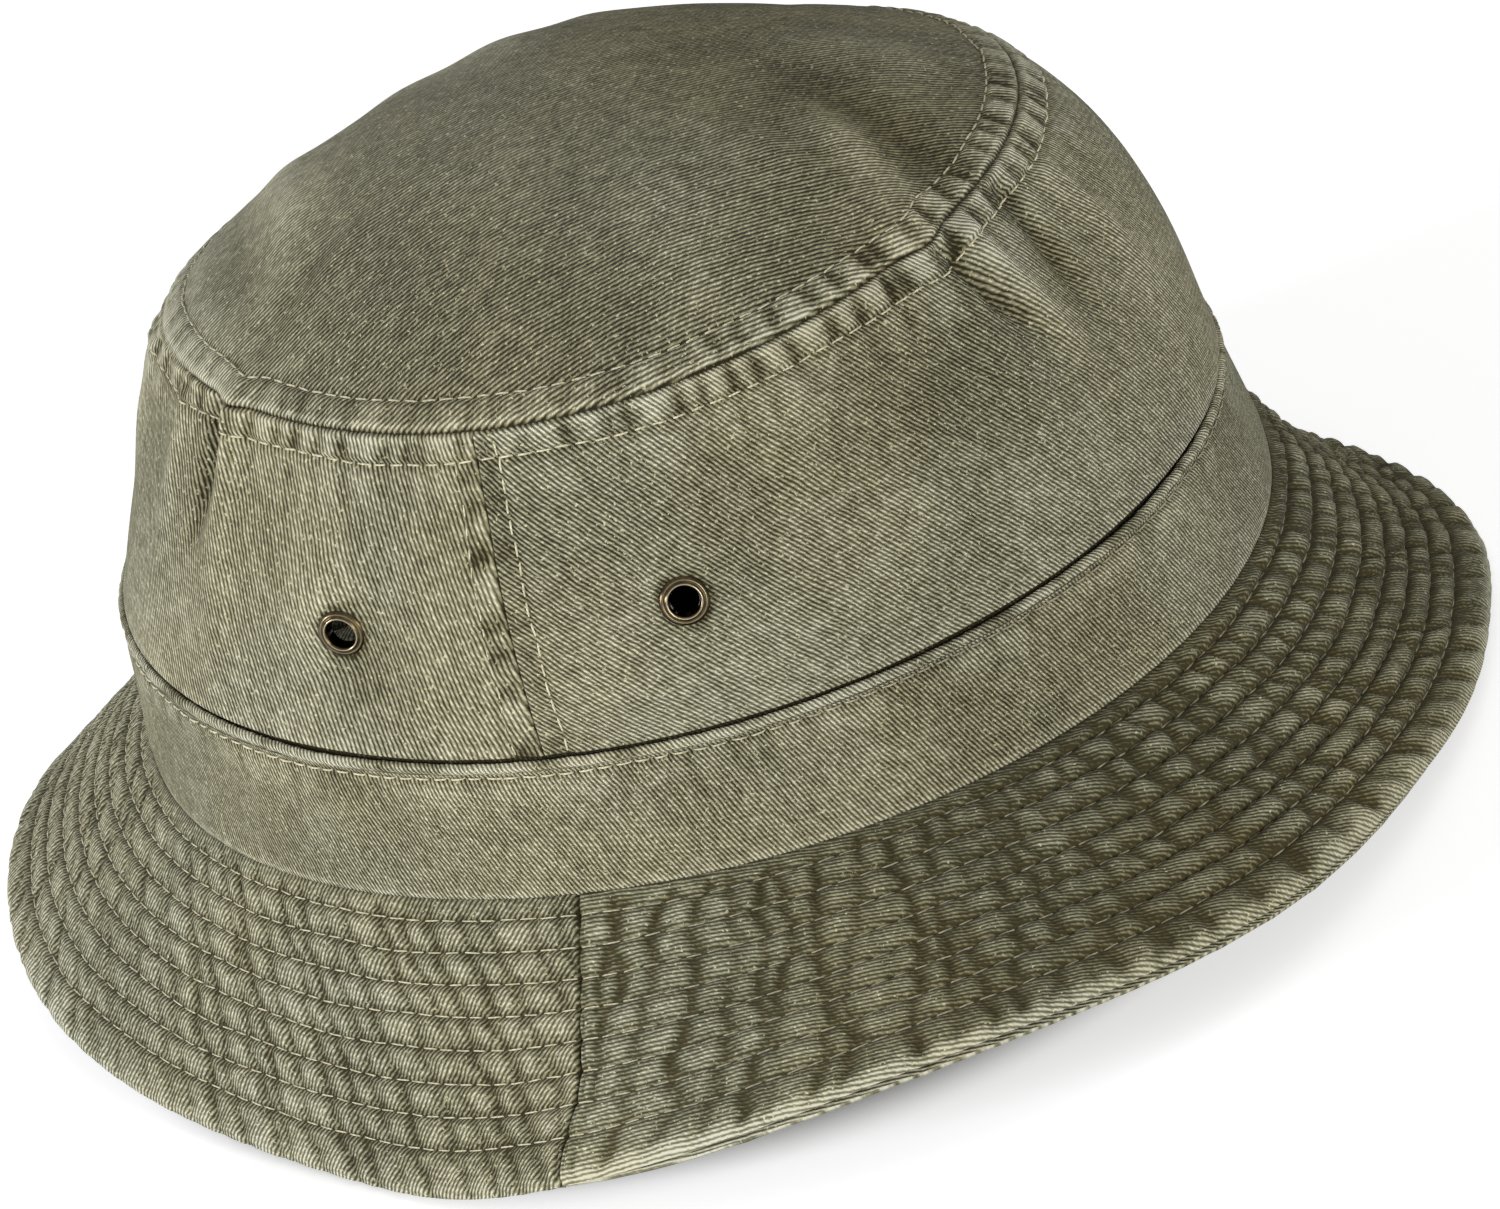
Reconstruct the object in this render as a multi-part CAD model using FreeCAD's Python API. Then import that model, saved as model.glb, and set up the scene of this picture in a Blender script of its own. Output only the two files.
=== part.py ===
import FreeCAD, Part
import math
import os

# Bucket hat in washed cotton twill, millimetres, +Z up.
# +X is the front, the side seams are at -Y (right) and +Y (left).
# Angles run round the head in degrees from the front, positive towards +Y.

# Head opening and crown
opening_length = 196.0      # outside the hat band at the brim seam, front to back
opening_width = 186.0       # the same, side to side
band_inset_ends = 2.25      # how far the hat band leans in at front and back
band_inset_sides = 5.0      # the same at the side seams
tip_length = 146.5          # seam between the top panel and the side panels
tip_width = 142.5
band_height = 23.0          # brim seam to the upper edge of the hat band
wall_height = 49.0          # upper edge of the hat band to the tip seam
wall_bulge = 3.2            # how far the side panels belly out half-way up
tip_rise = 24.0             # how far the top panel domes above its seam

# Brim
brim_width = 46.5           # brim seam to outer edge, measured on the cloth
brim_droop = 47.0           # mean angle below the horizontal
brim_wave = (               # order round the head, cosine part, sine part, degrees
    (1, -2.0, 7.0),
    (2, -5.0, 8.0),
    (3, 8.0, -2.0),
    (4, -1.0, -2.5),
)
brim_dips = (               # where it bends further: angle, half width, degrees more
    (138.0, 24.0, 15.0),
    (24.0, 26.0, -4.0),
)
edge_turning = 7.0          # how far the interlining stops short of the edge

# Cloth and trim
cloth = 0.7                 # one layer of the twill
interlining = 0.6
tape_cloth = 0.5
ease = 0.3                  # air left between two layers
seam_gap = 0.3              # air left where two cut edges meet
band_roll = 2.2             # diameter of the rolled upper edge of the hat band
sweatband_height = 30.0
tape_width = 12.0

# Eyelets
eyelet_bore = 4.7
eyelet_wall = 0.35
eyelet_flange = 8.0
eyelet_crown = 0.8          # how far the flange stands off the cloth
eyelet_curl = 0.5           # radius of the barrel's rolled end
eyelet_height = 42.0        # above the brim seam
eyelet_front = 27.5         # from the side seam round to the front eyelet
eyelet_rear = 31.0          # from the side seam round to the rear eyelet
washer_diameter = 8.6
washer_thickness = 0.4
hole_clearance = 0.1        # round an eyelet's barrel
metal_gap = 0.05            # air left between brass and what it presses on
washer_gap = 0.25           # air left between the cloth and the washer

# How finely the curves are followed
sections_per_half = 12      # sections in half a turn of the head
strip_step = 12.0           # between the points of a section up the crown
roll_open = 120             # degrees each way that the band's roll is closed
roll_step = 30              # degrees between the corners of the band's roll
bead_step = 20              # degrees between the corners of an eyelet's rounded parts

# Angles of the joins round the head
right_seam_angle = -90.0
left_seam_angle = 90.0
back_angle = 180.0
full_turn = 360.0
half_turn = full_turn / 2

# How the worn hat leans when it stands on the three lowest points of its brim, degrees
lean_forward = 2.4
lean_right = 0.75


def spoke(angle):
    """Horizontal unit vector from the middle of the crown; every section lies in its plane."""
    t = math.radians(angle)
    return FreeCAD.Vector(math.cos(t), math.sin(t), 0)


def in_plane(angle, r, z):
    return spoke(angle) * r + FreeCAD.Vector(0, 0, z)


def oval(length, width, angle):
    """Distance from the middle to an oval of this length and width."""
    t = math.radians(angle)
    a, b = length / 2, width / 2
    return a * b / math.hypot(b * math.cos(t), a * math.sin(t))


def turn_for(distance, r):
    """Angle that covers a distance at a radius."""
    return math.degrees(distance / r)


def turn_between(angle, place):
    """Shortest turn from a place to an angle."""
    return (angle - place + half_turn) % full_turn - half_turn


def smooth_edge(points):
    curve = Part.BSplineCurve()
    curve.interpolate(points)
    return curve.toShape()


def line(a, b):
    return Part.LineSegment(a, b).toShape()


def sweep_round(section, start, end):
    """Solid through the sections from one angle to another."""
    count = max(2, round(sections_per_half * abs(end - start) / half_turn))
    wires = [section(start + (end - start) * i / count) for i in range(count + 1)]
    return Part.makeLoft(wires, True, False)


# ---- crown ----

# The hat is drawn with its brim seam at height 0, and is stood on its brim at the end.
band_top_length = opening_length - 2 * band_inset_ends
band_top_width = opening_width - 2 * band_inset_sides
tip_z = band_height + wall_height
band_thickness = 2 * cloth
wall_inset = band_thickness + ease
seam_turn = turn_for(seam_gap / 2, opening_width / 2)
whole_turn = (back_angle + seam_turn, back_angle + full_turn - seam_turn)


def band_line(angle, height):
    """Radius of the hat band's outer face at a height above the brim seam."""
    foot = oval(opening_length, opening_width, angle)
    top = oval(band_top_length, band_top_width, angle)
    return foot + (top - foot) * height / band_height


def crown_line(angle, height):
    """Radius of the side panel's outer face at a height above the brim seam."""
    if height <= band_height:
        return band_line(angle, height) - wall_inset
    share = (height - band_height) / wall_height
    low = oval(band_top_length, band_top_width, angle) - wall_inset
    high = oval(tip_length, tip_width, angle)
    return low + (high - low) * share + wall_bulge * math.sin(math.pi * min(share, 1))


def crown_point(angle, height, depth):
    """Point at a depth square to the side panel's outer face."""
    step = 2.0
    slope = (crown_line(angle, height + step) - crown_line(angle, height - step)) / (2 * step)
    out_r = 1 / math.hypot(1, slope)
    out_z = -slope * out_r
    r = crown_line(angle, height) - depth * out_r
    return in_plane(angle, r, height - depth * out_z)


def crown_strip(angle, depth, thickness, low, high):
    """Closed section of cloth that follows the crown between two heights."""
    count = max(3, round((high - low) / strip_step))
    heights = [low + (high - low) * i / count for i in range(count + 1)]
    outer = [crown_point(angle, h, depth) for h in heights]
    inner = [crown_point(angle, h, depth + thickness) for h in heights]
    return Part.Wire([
        smooth_edge(outer),
        line(outer[-1], inner[-1]),
        smooth_edge(list(reversed(inner))),
        line(inner[0], outer[0]),
    ])


def side_panel(start, end):
    def section(angle):
        return crown_strip(angle, 0, cloth, 0, tip_z - seam_gap)

    return sweep_round(section, start + seam_turn, end - seam_turn)


def crown_tip():
    """Domed top panel: a spherical cap drawn to the oval of the tip seam."""
    radius = tip_length / 2
    ball = (radius ** 2 + tip_rise ** 2) / (2 * tip_rise)
    centre = FreeCAD.Vector(0, 0, tip_z + tip_rise - ball)
    rim = math.asin(radius / ball)

    def on_ball(r, angle):
        return centre + FreeCAD.Vector(r * math.sin(angle), 0, r * math.cos(angle))

    def arc(r, a, b):
        return Part.Arc(on_ball(r, a), on_ball(r, (a + b) / 2), on_ball(r, b)).toShape()

    face = Part.Face(Part.Wire([
        arc(ball, 0, rim),
        line(on_ball(ball, rim), on_ball(ball - cloth, rim)),
        arc(ball - cloth, rim, 0),
        line(on_ball(ball - cloth, 0), on_ball(ball, 0)),
    ]))
    dome = face.revolve(FreeCAD.Vector(0, 0, 0), FreeCAD.Vector(0, 0, 1), full_turn)
    to_oval = FreeCAD.Matrix()
    to_oval.scale(1, tip_width / tip_length, 1)
    return dome.transformGeometry(to_oval)


def hat_band():
    """Strip round the foot of the crown, rolled over at its upper edge, joined at the back."""
    neck = band_height - band_roll
    roll_r = band_roll / 2
    roll_turns = [math.radians(turn) for turn in range(roll_open, -roll_open - 1, -roll_step)]

    def section(angle):
        def point(height, depth):
            return in_plane(angle, band_line(angle, height) - depth, height)

        roll = [
            point(band_height - roll_r + roll_r * math.cos(turn),
                  band_thickness - roll_r - roll_r * math.sin(turn))
            for turn in roll_turns
        ]
        outline = [point(0, band_thickness), point(0, 0), point(neck, 0)] + roll
        return Part.makePolygon(outline + outline[:1])

    return sweep_round(section, *whole_turn)


def sweatband():
    """Folded strip inside the head opening, joined at the back."""
    def section(angle):
        return crown_strip(angle, cloth + ease, 2 * cloth, 0, sweatband_height)

    return sweep_round(section, *whole_turn)


# ---- seam tapes ----

tape_depth = cloth + ease
tape_foot = sweatband_height + seam_gap
tape_head = tip_z - 2 * (cloth + ease)
tip_tape_foot = tape_head - tape_width


def side_seam_tape(seam):
    half = turn_for(tape_width / 2, band_top_width / 2)

    def section(angle):
        return crown_strip(angle, tape_depth, tape_cloth, tape_foot, tip_tape_foot - seam_gap)

    return sweep_round(section, seam - half, seam + half)


def tip_seam_tape():
    """Tape behind the tip seam, lying on the side panels below it."""
    def section(angle):
        return crown_strip(angle, tape_depth, tape_cloth, tip_tape_foot, tape_head)

    return sweep_round(section, *whole_turn)


# ---- brim ----

lining_depth = cloth + ease
lower_depth = lining_depth + interlining + ease


def droop(angle):
    """Angle of the brim below the horizontal; it waves round the head as worn cloth does."""
    t = math.radians(angle)
    waves = sum(c * math.cos(k * t) + s * math.sin(k * t) for k, c, s in brim_wave)
    dips = sum(
        more * math.exp(-(turn_between(angle, place) / half) ** 2) for place, half, more in brim_dips)
    return brim_droop + waves + dips


def brim_point(angle, reach, depth):
    """Point at a reach from the brim seam and a depth below the brim's upper face."""
    fall = math.radians(droop(angle))
    root = oval(opening_length, opening_width, angle)
    r = root + reach * math.cos(fall) - depth * math.sin(fall)
    z = -seam_gap - reach * math.sin(fall) - depth * math.cos(fall)
    return in_plane(angle, r, z)


def brim_layer(start, end, depth, thickness, reach):
    def section(angle):
        corners = [
            brim_point(angle, 0, depth),
            brim_point(angle, reach, depth),
            brim_point(angle, reach, depth + thickness),
            brim_point(angle, 0, depth + thickness),
        ]
        return Part.makePolygon(corners + corners[:1])

    return sweep_round(section, start + seam_turn, end - seam_turn)


# ---- eyelets ----

def eyelet_seat(seam, along):
    """Centre on the side panel's outer face and the outward direction there."""
    angle = seam + turn_for(along, crown_line(seam, eyelet_height))
    step = 0.5
    ahead = crown_point(angle + step, eyelet_height, 0) - crown_point(angle - step, eyelet_height, 0)
    up = crown_point(angle, eyelet_height + step, 0) - crown_point(angle, eyelet_height - step, 0)
    out = ahead.cross(up)
    out.normalize()
    return crown_point(angle, eyelet_height, 0), out


def spin(points, centre, out):
    """Ring turned from a closed outline of (radius, height) points about the eyelet's axis."""
    corners = [FreeCAD.Vector(r, 0, h) for r, h in points]
    face = Part.Face(Part.makePolygon(corners + corners[:1]))
    ring = face.revolve(FreeCAD.Vector(0, 0, 0), FreeCAD.Vector(0, 0, 1), full_turn)
    ring.Placement = FreeCAD.Placement(centre, FreeCAD.Rotation(FreeCAD.Vector(0, 0, 1), out))
    return ring


def bead(middle_r, middle_h, half_width, half_height, start, end):
    """Corners of a rounded part of an outline, from one turn to another in degrees."""
    count = round(abs(end - start) / bead_step)
    turns = [math.radians(start + (end - start) * i / count) for i in range(count + 1)]
    return [(middle_r + half_width * math.cos(t), middle_h + half_height * math.sin(t)) for t in turns]


bore_r = eyelet_bore / 2
barrel_r = bore_r + eyelet_wall
flange_r = eyelet_flange / 2
washer_r = washer_diameter / 2
washer_hole_r = barrel_r + hole_clearance
washer_top = -(cloth + washer_gap)
washer_bottom = washer_top - washer_thickness
curl_h = washer_bottom - metal_gap - eyelet_curl


def eyelet(centre, out):
    """Domed flange on the cloth, a barrel through it, and the barrel's end curled outwards."""
    curl_r = bore_r + eyelet_curl
    curl_end = math.degrees(math.acos((barrel_r - curl_r) / eyelet_curl))
    dome_r = (flange_r + bore_r) / 2
    outline = bead(curl_r, curl_h, eyelet_curl, eyelet_curl, half_turn, full_turn + curl_end)
    outline.append((barrel_r, metal_gap))
    outline += bead(dome_r, metal_gap, flange_r - dome_r, eyelet_crown - metal_gap, 0, half_turn)
    return spin(outline, centre, out)


def eyelet_washer(centre, out):
    outline = [
        (washer_hole_r, washer_bottom),
        (washer_r, washer_bottom),
        (washer_r, washer_top),
        (washer_hole_r, washer_top),
    ]
    return spin(outline, centre, out)


def punch(panel, centre, out):
    """Hole for a barrel, cut square to the cloth by a punch several layers long."""
    reach = 4 * cloth
    tool = Part.makeCylinder(barrel_r + hole_clearance, 2 * reach, centre - out * reach, out)
    return panel.cut(tool)


# ---- assembly ----

front = (right_seam_angle, left_seam_angle)
rear = (left_seam_angle, right_seam_angle + full_turn)

parts = {
    "crown_tip": crown_tip(),
    "side_panel_front": side_panel(*front),
    "side_panel_rear": side_panel(*rear),
    "hat_band": hat_band(),
    "sweatband": sweatband(),
    "tip_seam_tape": tip_seam_tape(),
    "side_seam_tape_right": side_seam_tape(right_seam_angle),
    "side_seam_tape_left": side_seam_tape(left_seam_angle),
}
for name, span in (("front", front), ("rear", rear)):
    parts["brim_upper_" + name] = brim_layer(*span, 0, cloth, brim_width)
    parts["brim_interlining_" + name] = brim_layer(
        *span, lining_depth, interlining, brim_width - edge_turning)
    parts["brim_lower_" + name] = brim_layer(*span, lower_depth, cloth, brim_width)

eyelet_places = (
    ("right_front", right_seam_angle, eyelet_front, "side_panel_front"),
    ("right_rear", right_seam_angle, -eyelet_rear, "side_panel_rear"),
    ("left_front", left_seam_angle, -eyelet_front, "side_panel_front"),
    ("left_rear", left_seam_angle, eyelet_rear, "side_panel_rear"),
)
for name, seam, along, panel in eyelet_places:
    centre, out = eyelet_seat(seam, along)
    parts["eyelet_" + name] = eyelet(centre, out)
    parts["washer_" + name] = eyelet_washer(centre, out)
    parts[panel] = punch(parts[panel], centre, out)

# Stand the hat on the lowest points of its brim, with its box centred on the origin.
lean = FreeCAD.Rotation(0, lean_forward, lean_right)
for shape in parts.values():
    shape.Placement = FreeCAD.Placement(FreeCAD.Vector(), lean).multiply(shape.Placement)
box = Part.makeCompound(list(parts.values())).optimalBoundingBox(False, False)
move = FreeCAD.Vector(-(box.XMin + box.XMax) / 2, -(box.YMin + box.YMax) / 2, -box.ZMin)

os.makedirs("parts", exist_ok=True)
for name, shape in parts.items():
    shape.translate(move)
    shape.exportStep("parts/" + name + ".step")
    print(name, "valid", shape.isValid(), "solids", len(shape.Solids), "volume", round(shape.Volume, 1))
print("size", round(box.XLength, 1), round(box.YLength, 1), round(box.ZLength, 1), "moved", move)
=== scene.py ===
import math
import bpy
import numpy as np
from mathutils import Matrix, Vector


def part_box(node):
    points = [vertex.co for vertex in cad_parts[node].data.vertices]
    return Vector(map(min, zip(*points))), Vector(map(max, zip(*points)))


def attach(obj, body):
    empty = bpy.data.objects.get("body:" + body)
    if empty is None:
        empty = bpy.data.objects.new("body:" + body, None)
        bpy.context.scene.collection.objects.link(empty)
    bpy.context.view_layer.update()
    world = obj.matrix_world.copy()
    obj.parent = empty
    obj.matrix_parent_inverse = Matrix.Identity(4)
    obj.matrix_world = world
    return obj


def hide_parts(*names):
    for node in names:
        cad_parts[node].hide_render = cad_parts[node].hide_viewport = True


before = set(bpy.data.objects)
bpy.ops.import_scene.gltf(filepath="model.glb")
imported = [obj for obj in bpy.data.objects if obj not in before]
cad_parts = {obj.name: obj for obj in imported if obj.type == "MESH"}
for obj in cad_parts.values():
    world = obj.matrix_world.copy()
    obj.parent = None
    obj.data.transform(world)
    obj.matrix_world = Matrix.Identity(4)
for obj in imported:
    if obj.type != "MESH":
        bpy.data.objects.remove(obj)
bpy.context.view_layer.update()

mm = 0.001
circle = 2 * math.pi
rightSeam = -math.pi / 2
leftSeam = math.pi / 2

# the hat's shape, in millimetres from the middle of the brim seam; angles run round the head from the front
# towards +Y; a wave is given by how often it goes round, and its cosine and sine parts
hatShape = {
    "opening": {"half": (98.1, 93.0), "centre": (0.0, 0.0), "height": 0.0,
                "wave": ((1, -1.3, 0.9),), "pinch": 0.0, "corners": ()},
    "bandTop": {"half": (95.3, 87.6), "centre": (-0.6, 0.7), "height": 22.9,
                "wave": ((1, -2.6, 1.7), (2, 1.0, 0.0)), "pinch": 0.0, "corners": ()},
    "tipSeam": {"half": (73.4, 71.2), "centre": (1.4, -1.0), "height": 72.2,
                "wave": ((1, 1.9, -1.7), (2, 2.1, 1.9)), "pinch": 0.018,
                "corners": ((-28.5, 3.6, 2.2), (-131.0, 3.0, 1.5))},     # angle, half width, millimetres out
    "bulge": (2.9, 1.9),                # side panels belly out, and more at the front
    "shoulder": (26.0, 28.0, 2.0),      # the side stands out under the tip seam: angle, half width, how far
    "swell": (1.65, 0.2),               # side panels roll out over the band's edge, and more in front
    "gap": (0.66, -0.05, 0.16),         # how far above the edge they do so: mean, once round, twice round
    "seamSlant": (1.7, 49.0),           # how far the right seam leans back in degrees, and over what height
    "tipRise": 24.0,
    "cloth": 0.7,
    "ease": 0.3,
    "bandThickness": 1.4,
    "packedHalf": (98, 93),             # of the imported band's opening
    "leanForward": 2.4,                 # degrees
    "leanRight": 0.75,
}
bandHeight = hatShape["bandTop"]["height"]
tipHeight = hatShape["tipSeam"]["height"]
inwards = hatShape["bandThickness"] + hatShape["ease"]      # band's face to side panel's face
behind = hatShape["cloth"] + hatShape["ease"]               # one layer's face to the next one's
# mean radii that turn an angle into a length round the hat
tipSeamRadius = 72.0
wallRadius = 86.0
bandRadius = 92.0


def wave(theta, terms):
    return sum(c * np.cos(k * theta) + s * np.sin(k * theta) for k, c, s in terms) + 0 * theta


def turnFrom(theta, degrees):
    # how far round the ring from a place, in degrees
    return (np.degrees(theta) - degrees + 180) % 360 - 180


def bump(x, width):
    return np.exp(-(x / width) ** 2)


def smooth(t):
    return t * t * (3 - 2 * t)


def step(x, low, high):
    return smooth(np.clip((x - low) / (high - low), 0, 1))


def between(theta, start, rise, end, fall):
    # 1 on one stretch of the ring, with soft ends, in degrees
    return step(turnFrom(theta, start), 0, rise) * (1 - step(turnFrom(theta, end), 0, fall))


def onStrip(far, width, rise=0.9):
    # 1 between a seam and its topstitching
    return step(far, 0.1, rise) * (1 - step(far, width - 0.5, width + 0.3))


def foldLift(x, y, end, width, lift, begin, fadeFrom):
    # a soft fold from the origin towards its end
    length = math.hypot(*end)
    along = (x * end[0] + y * end[1]) / length
    aside = (x * end[1] - y * end[0]) / length
    fade = 1 - step(along, length * fadeFrom, length * 1.1)
    return lift * bump(aside, width) * step(along, *begin) * fade


def ringPoints(ring, theta):
    a, b = ring["half"]
    size = 1 - ring["pinch"] * np.sin(2 * theta) ** 2
    for place, width, lift in ring["corners"]:
        size = size + lift / a * bump(turnFrom(theta, place), width)
    return np.stack([
        a * size * np.cos(theta) + ring["centre"][0],
        b * size * np.sin(theta) + ring["centre"][1],
        ring["height"] + wave(theta, ring["wave"]),
    ], -1)


def outward(ring, theta):
    a, b = ring["half"]
    square = np.stack([b * np.cos(theta), a * np.sin(theta), 0 * theta], -1)
    return square / np.linalg.norm(square, axis=-1, keepdims=True)


def bandShape(theta, height):
    foot = ringPoints(hatShape["opening"], theta)
    top = ringPoints(hatShape["bandTop"], theta)
    return foot + (top - foot) * (height / bandHeight)[..., None]


def standHat():
    # turn and shift from the hat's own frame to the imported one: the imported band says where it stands
    turn = np.array(Matrix.Rotation(math.radians(hatShape["leanForward"]), 3, "Y")
                    @ Matrix.Rotation(math.radians(hatShape["leanRight"]), 3, "X"))
    theta = np.linspace(0, circle, 720)
    length, width = hatShape["packedHalf"]
    foot = np.stack([length * np.cos(theta), width * np.sin(theta), 0 * theta], -1) @ turn.T
    low, high = (np.array(corner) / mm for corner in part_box("hat_band"))
    shift = (low + high) / 2 - (foot.min(0) + foot.max(0)) / 2
    shift[2] = low[2] - foot[:, 2].min()
    return turn, shift


hatTurn, hatShift = standHat()


def toFrame(points):
    return (points @ hatTurn.T + hatShift) * mm


print("hat stands at", np.round(hatShift, 2))


# smooth noise from seeded lattices, about -1 to 1
def lattice(columns, seed):
    return np.random.default_rng(seed).uniform(-1, 1, (64, columns))


def smoothLookup(table, u, v):
    u, v = np.broadcast_arrays(u, v)
    rows, columns = table.shape
    i, j = np.floor(u).astype(int), np.floor(v).astype(int)
    fu, fv = smooth(u - i), smooth(v - j)
    i0, i1, j0, j1 = i % columns, (i + 1) % columns, j % rows, (j + 1) % rows
    low = table[j0, i0] * (1 - fu) + table[j0, i1] * fu
    high = table[j1, i0] * (1 - fu) + table[j1, i1] * fu
    return low * (1 - fv) + high * fv


def softNoise(u, v, seed):
    return smoothLookup(lattice(512, seed), u, v)


def ringNoise(theta, lumps, v, seed):
    # closes on itself round the ring
    return smoothLookup(lattice(int(lumps), seed), (theta / circle % 1.0) * int(lumps), v)


def creases(place, line, count, length, seed, drift, alike, sharp, gentle):
    # valleys across a ring of this length, steep on one side and gentle on the other, 0 to 1;
    # alike says how far each goes on from one line to the next
    lines = 12
    rng = np.random.default_rng(seed)
    spots = (np.arange(count) + rng.uniform(-0.3, 0.3, count)) * length / count
    slide = rng.uniform(-drift, drift, (lines, count))
    own = rng.uniform(0.1, 1.0, (lines, count))
    force = alike * rng.uniform(0.35, 1.0, count) + (1 - alike) * own
    line = np.clip(line, 0, lines - 1.01)
    low, share = np.floor(line).astype(int), smooth(line % 1.0)
    near = np.floor(place / length * count).astype(int)
    deepest = 0 * place
    for k in range(-2, 3):
        j = (near + k) % count
        spot = spots[j] + slide[low, j] * (1 - share) + slide[low + 1, j] * share
        deep = force[low, j] * (1 - share) + force[low + 1, j] * share
        away = (place - spot + length / 2) % length - length / 2
        side = np.where(away < 0, bump(away, sharp), np.exp(-(np.abs(away) / gentle) ** 1.5))
        deepest = np.maximum(deepest, deep * side)
    return deepest


def puffs(theta, lumps, v, seed):
    # rounded ridges with narrow valleys between them, -1 to 1
    ridge = np.abs(ringNoise(theta, lumps, v, seed))
    return 1 - 2 * (1 - np.minimum(1, ridge * 1.7)) ** 1.6


def normalAt(shape, u, v):
    aside, ahead = 0.001, 0.2       # small steps, in radians and in millimetres
    square = np.cross(shape(u + aside, v) - shape(u - aside, v), shape(u, v + ahead) - shape(u, v - ahead))
    return square / np.maximum(np.linalg.norm(square, axis=-1, keepdims=True), 1e-9)


def selectOnly(piece):
    if bpy.context.mode != "OBJECT":
        bpy.ops.object.mode_set(mode="OBJECT")
    bpy.ops.object.select_all(action="DESELECT")
    piece.select_set(True)
    bpy.context.view_layer.objects.active = piece


def editAll(piece):
    selectOnly(piece)
    bpy.ops.object.mode_set(mode="EDIT")
    bpy.ops.mesh.select_all(action="SELECT")


def inEdit(piece, operator, **values):
    editAll(piece)
    operator(**values)
    bpy.ops.object.mode_set(mode="OBJECT")


def paint(mesh, name, values):
    layer = mesh.attributes.new(name, "FLOAT", "POINT")
    layer.data.foreach_set("value", values.astype(np.float32).ravel())


def addMesh(name, vertices, faces):
    mesh = bpy.data.meshes.new(name)
    mesh.from_pydata(vertices.tolist(), [], faces)
    piece = bpy.data.objects.new(name, mesh)
    bpy.context.scene.collection.objects.link(piece)
    return piece


def sheetMesh(name, points, uv, fade, closed=False, thickness=0.0, holes=()):
    # points are rows by columns in the hat's frame; columns run towards rising angle, rows upwards
    rows, columns = points.shape[:2]
    flatPoints = points.reshape(-1, 3)
    index = np.arange(rows * columns).reshape(rows, columns)
    quads = np.stack([index[:-1, :-1], index[:-1, 1:], index[1:, 1:], index[1:, :-1]], -1).reshape(-1, 4)
    for centre, radius in holes:
        middle = flatPoints[quads].mean(1)
        quads = quads[np.linalg.norm(middle - centre, axis=-1) > radius]
    piece = addMesh(name, toFrame(flatPoints), quads.tolist())
    layer = piece.data.uv_layers.new(name="flat")
    layer.data.foreach_set("uv", uv.reshape(-1, 2)[quads.reshape(-1)].astype(np.float32).ravel())
    # the fade values hold real fading together with painted shade and painted highlight
    paint(piece.data, "fade", np.clip(fade, 0, 1))
    if closed:
        inEdit(piece, bpy.ops.mesh.remove_doubles, threshold=0.00002)
    if holes:
        inEdit(piece, bpy.ops.mesh.delete_loose)
    selectOnly(piece)
    if thickness:
        solid = piece.modifiers.new("cloth", "SOLIDIFY")
        solid.thickness = thickness * mm
        solid.offset = -1
        solid.use_even_offset = False
        bpy.ops.object.modifier_apply(modifier="cloth")
    bpy.ops.object.shade_smooth()
    return piece


def turned(x, y, degrees):
    # flat cloth coordinates with the second axis along the twill's ribs, in metres
    a = math.radians(degrees)
    return np.stack([x * math.cos(a) - y * math.sin(a), x * math.sin(a) + y * math.cos(a)], -1) * mm


# materials
weaveLook = {
    "pitch": 0.00065,           # rib to rib, metres
    "sway": (70, 1.6),          # how the ribs wander: noise scale, and how many ribs far
    "waver": (500, 0.40),
    "ribShape": 1.35,
    "slub": 0.0024,             # length of a thick or pale place along a yarn
    "twist": 0.00115,           # length of one turn of the yarn
    "cloud": 45,                # noise scales, from broad to fine
    "slowTint": 22,
    "mottle": 420,
    "fleck": 1500,
    "relief": 0.0003,
}


def nodeTree(material):
    material.use_nodes = True
    material.node_tree.nodes.clear()
    return material.node_tree


def add(tree, kind, **values):
    node = tree.nodes.new(kind)
    for key, value in values.items():
        setattr(node, key, value)
    return node


def addSockets(group, way, *rows):
    # name, kind, and a plain value where it has one
    for name, kind, *value in rows:
        socket = group.interface.new_socket(name, in_out=way, socket_type="NodeSocket" + kind)
        if value:
            socket.default_value = value[0]


def put(tree, target, value):
    if isinstance(value, bpy.types.NodeSocket):
        tree.links.new(value, target)
    else:
        target.default_value = value


def maths(tree, operation, *values):
    node = add(tree, "ShaderNodeMath", operation=operation)
    for socket, value in zip(node.inputs, values):
        put(tree, socket, value)
    return node.outputs[0]


def addUp(tree, *values):
    total = values[0]
    for value in values[1:]:
        total = maths(tree, "ADD", total, value)
    return total


def blendColour(tree, factor, first, second, kind="MIX"):
    node = add(tree, "ShaderNodeMix", data_type="RGBA", blend_type=kind)
    put(tree, node.inputs[0], factor)
    put(tree, node.inputs[6], first)
    put(tree, node.inputs[7], second)
    return node.outputs[2]


def remap(tree, value, low, high, toLow, toHigh):
    node = add(tree, "ShaderNodeMapRange", interpolation_type="SMOOTHSTEP")
    for socket, number in zip(node.inputs, (value, low, high, toLow, toHigh)):
        put(tree, socket, number)
    return node.outputs[0]


def noise(tree, place, scale, detail=2.0, roughness=0.5, flat=True):
    node = add(tree, "ShaderNodeTexNoise", noise_dimensions="2D" if flat else "3D")
    put(tree, node.inputs["Vector"], place)
    put(tree, node.inputs["Scale"], scale)
    node.inputs["Detail"].default_value = detail
    node.inputs["Roughness"].default_value = roughness
    return node.outputs["Fac"]


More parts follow.
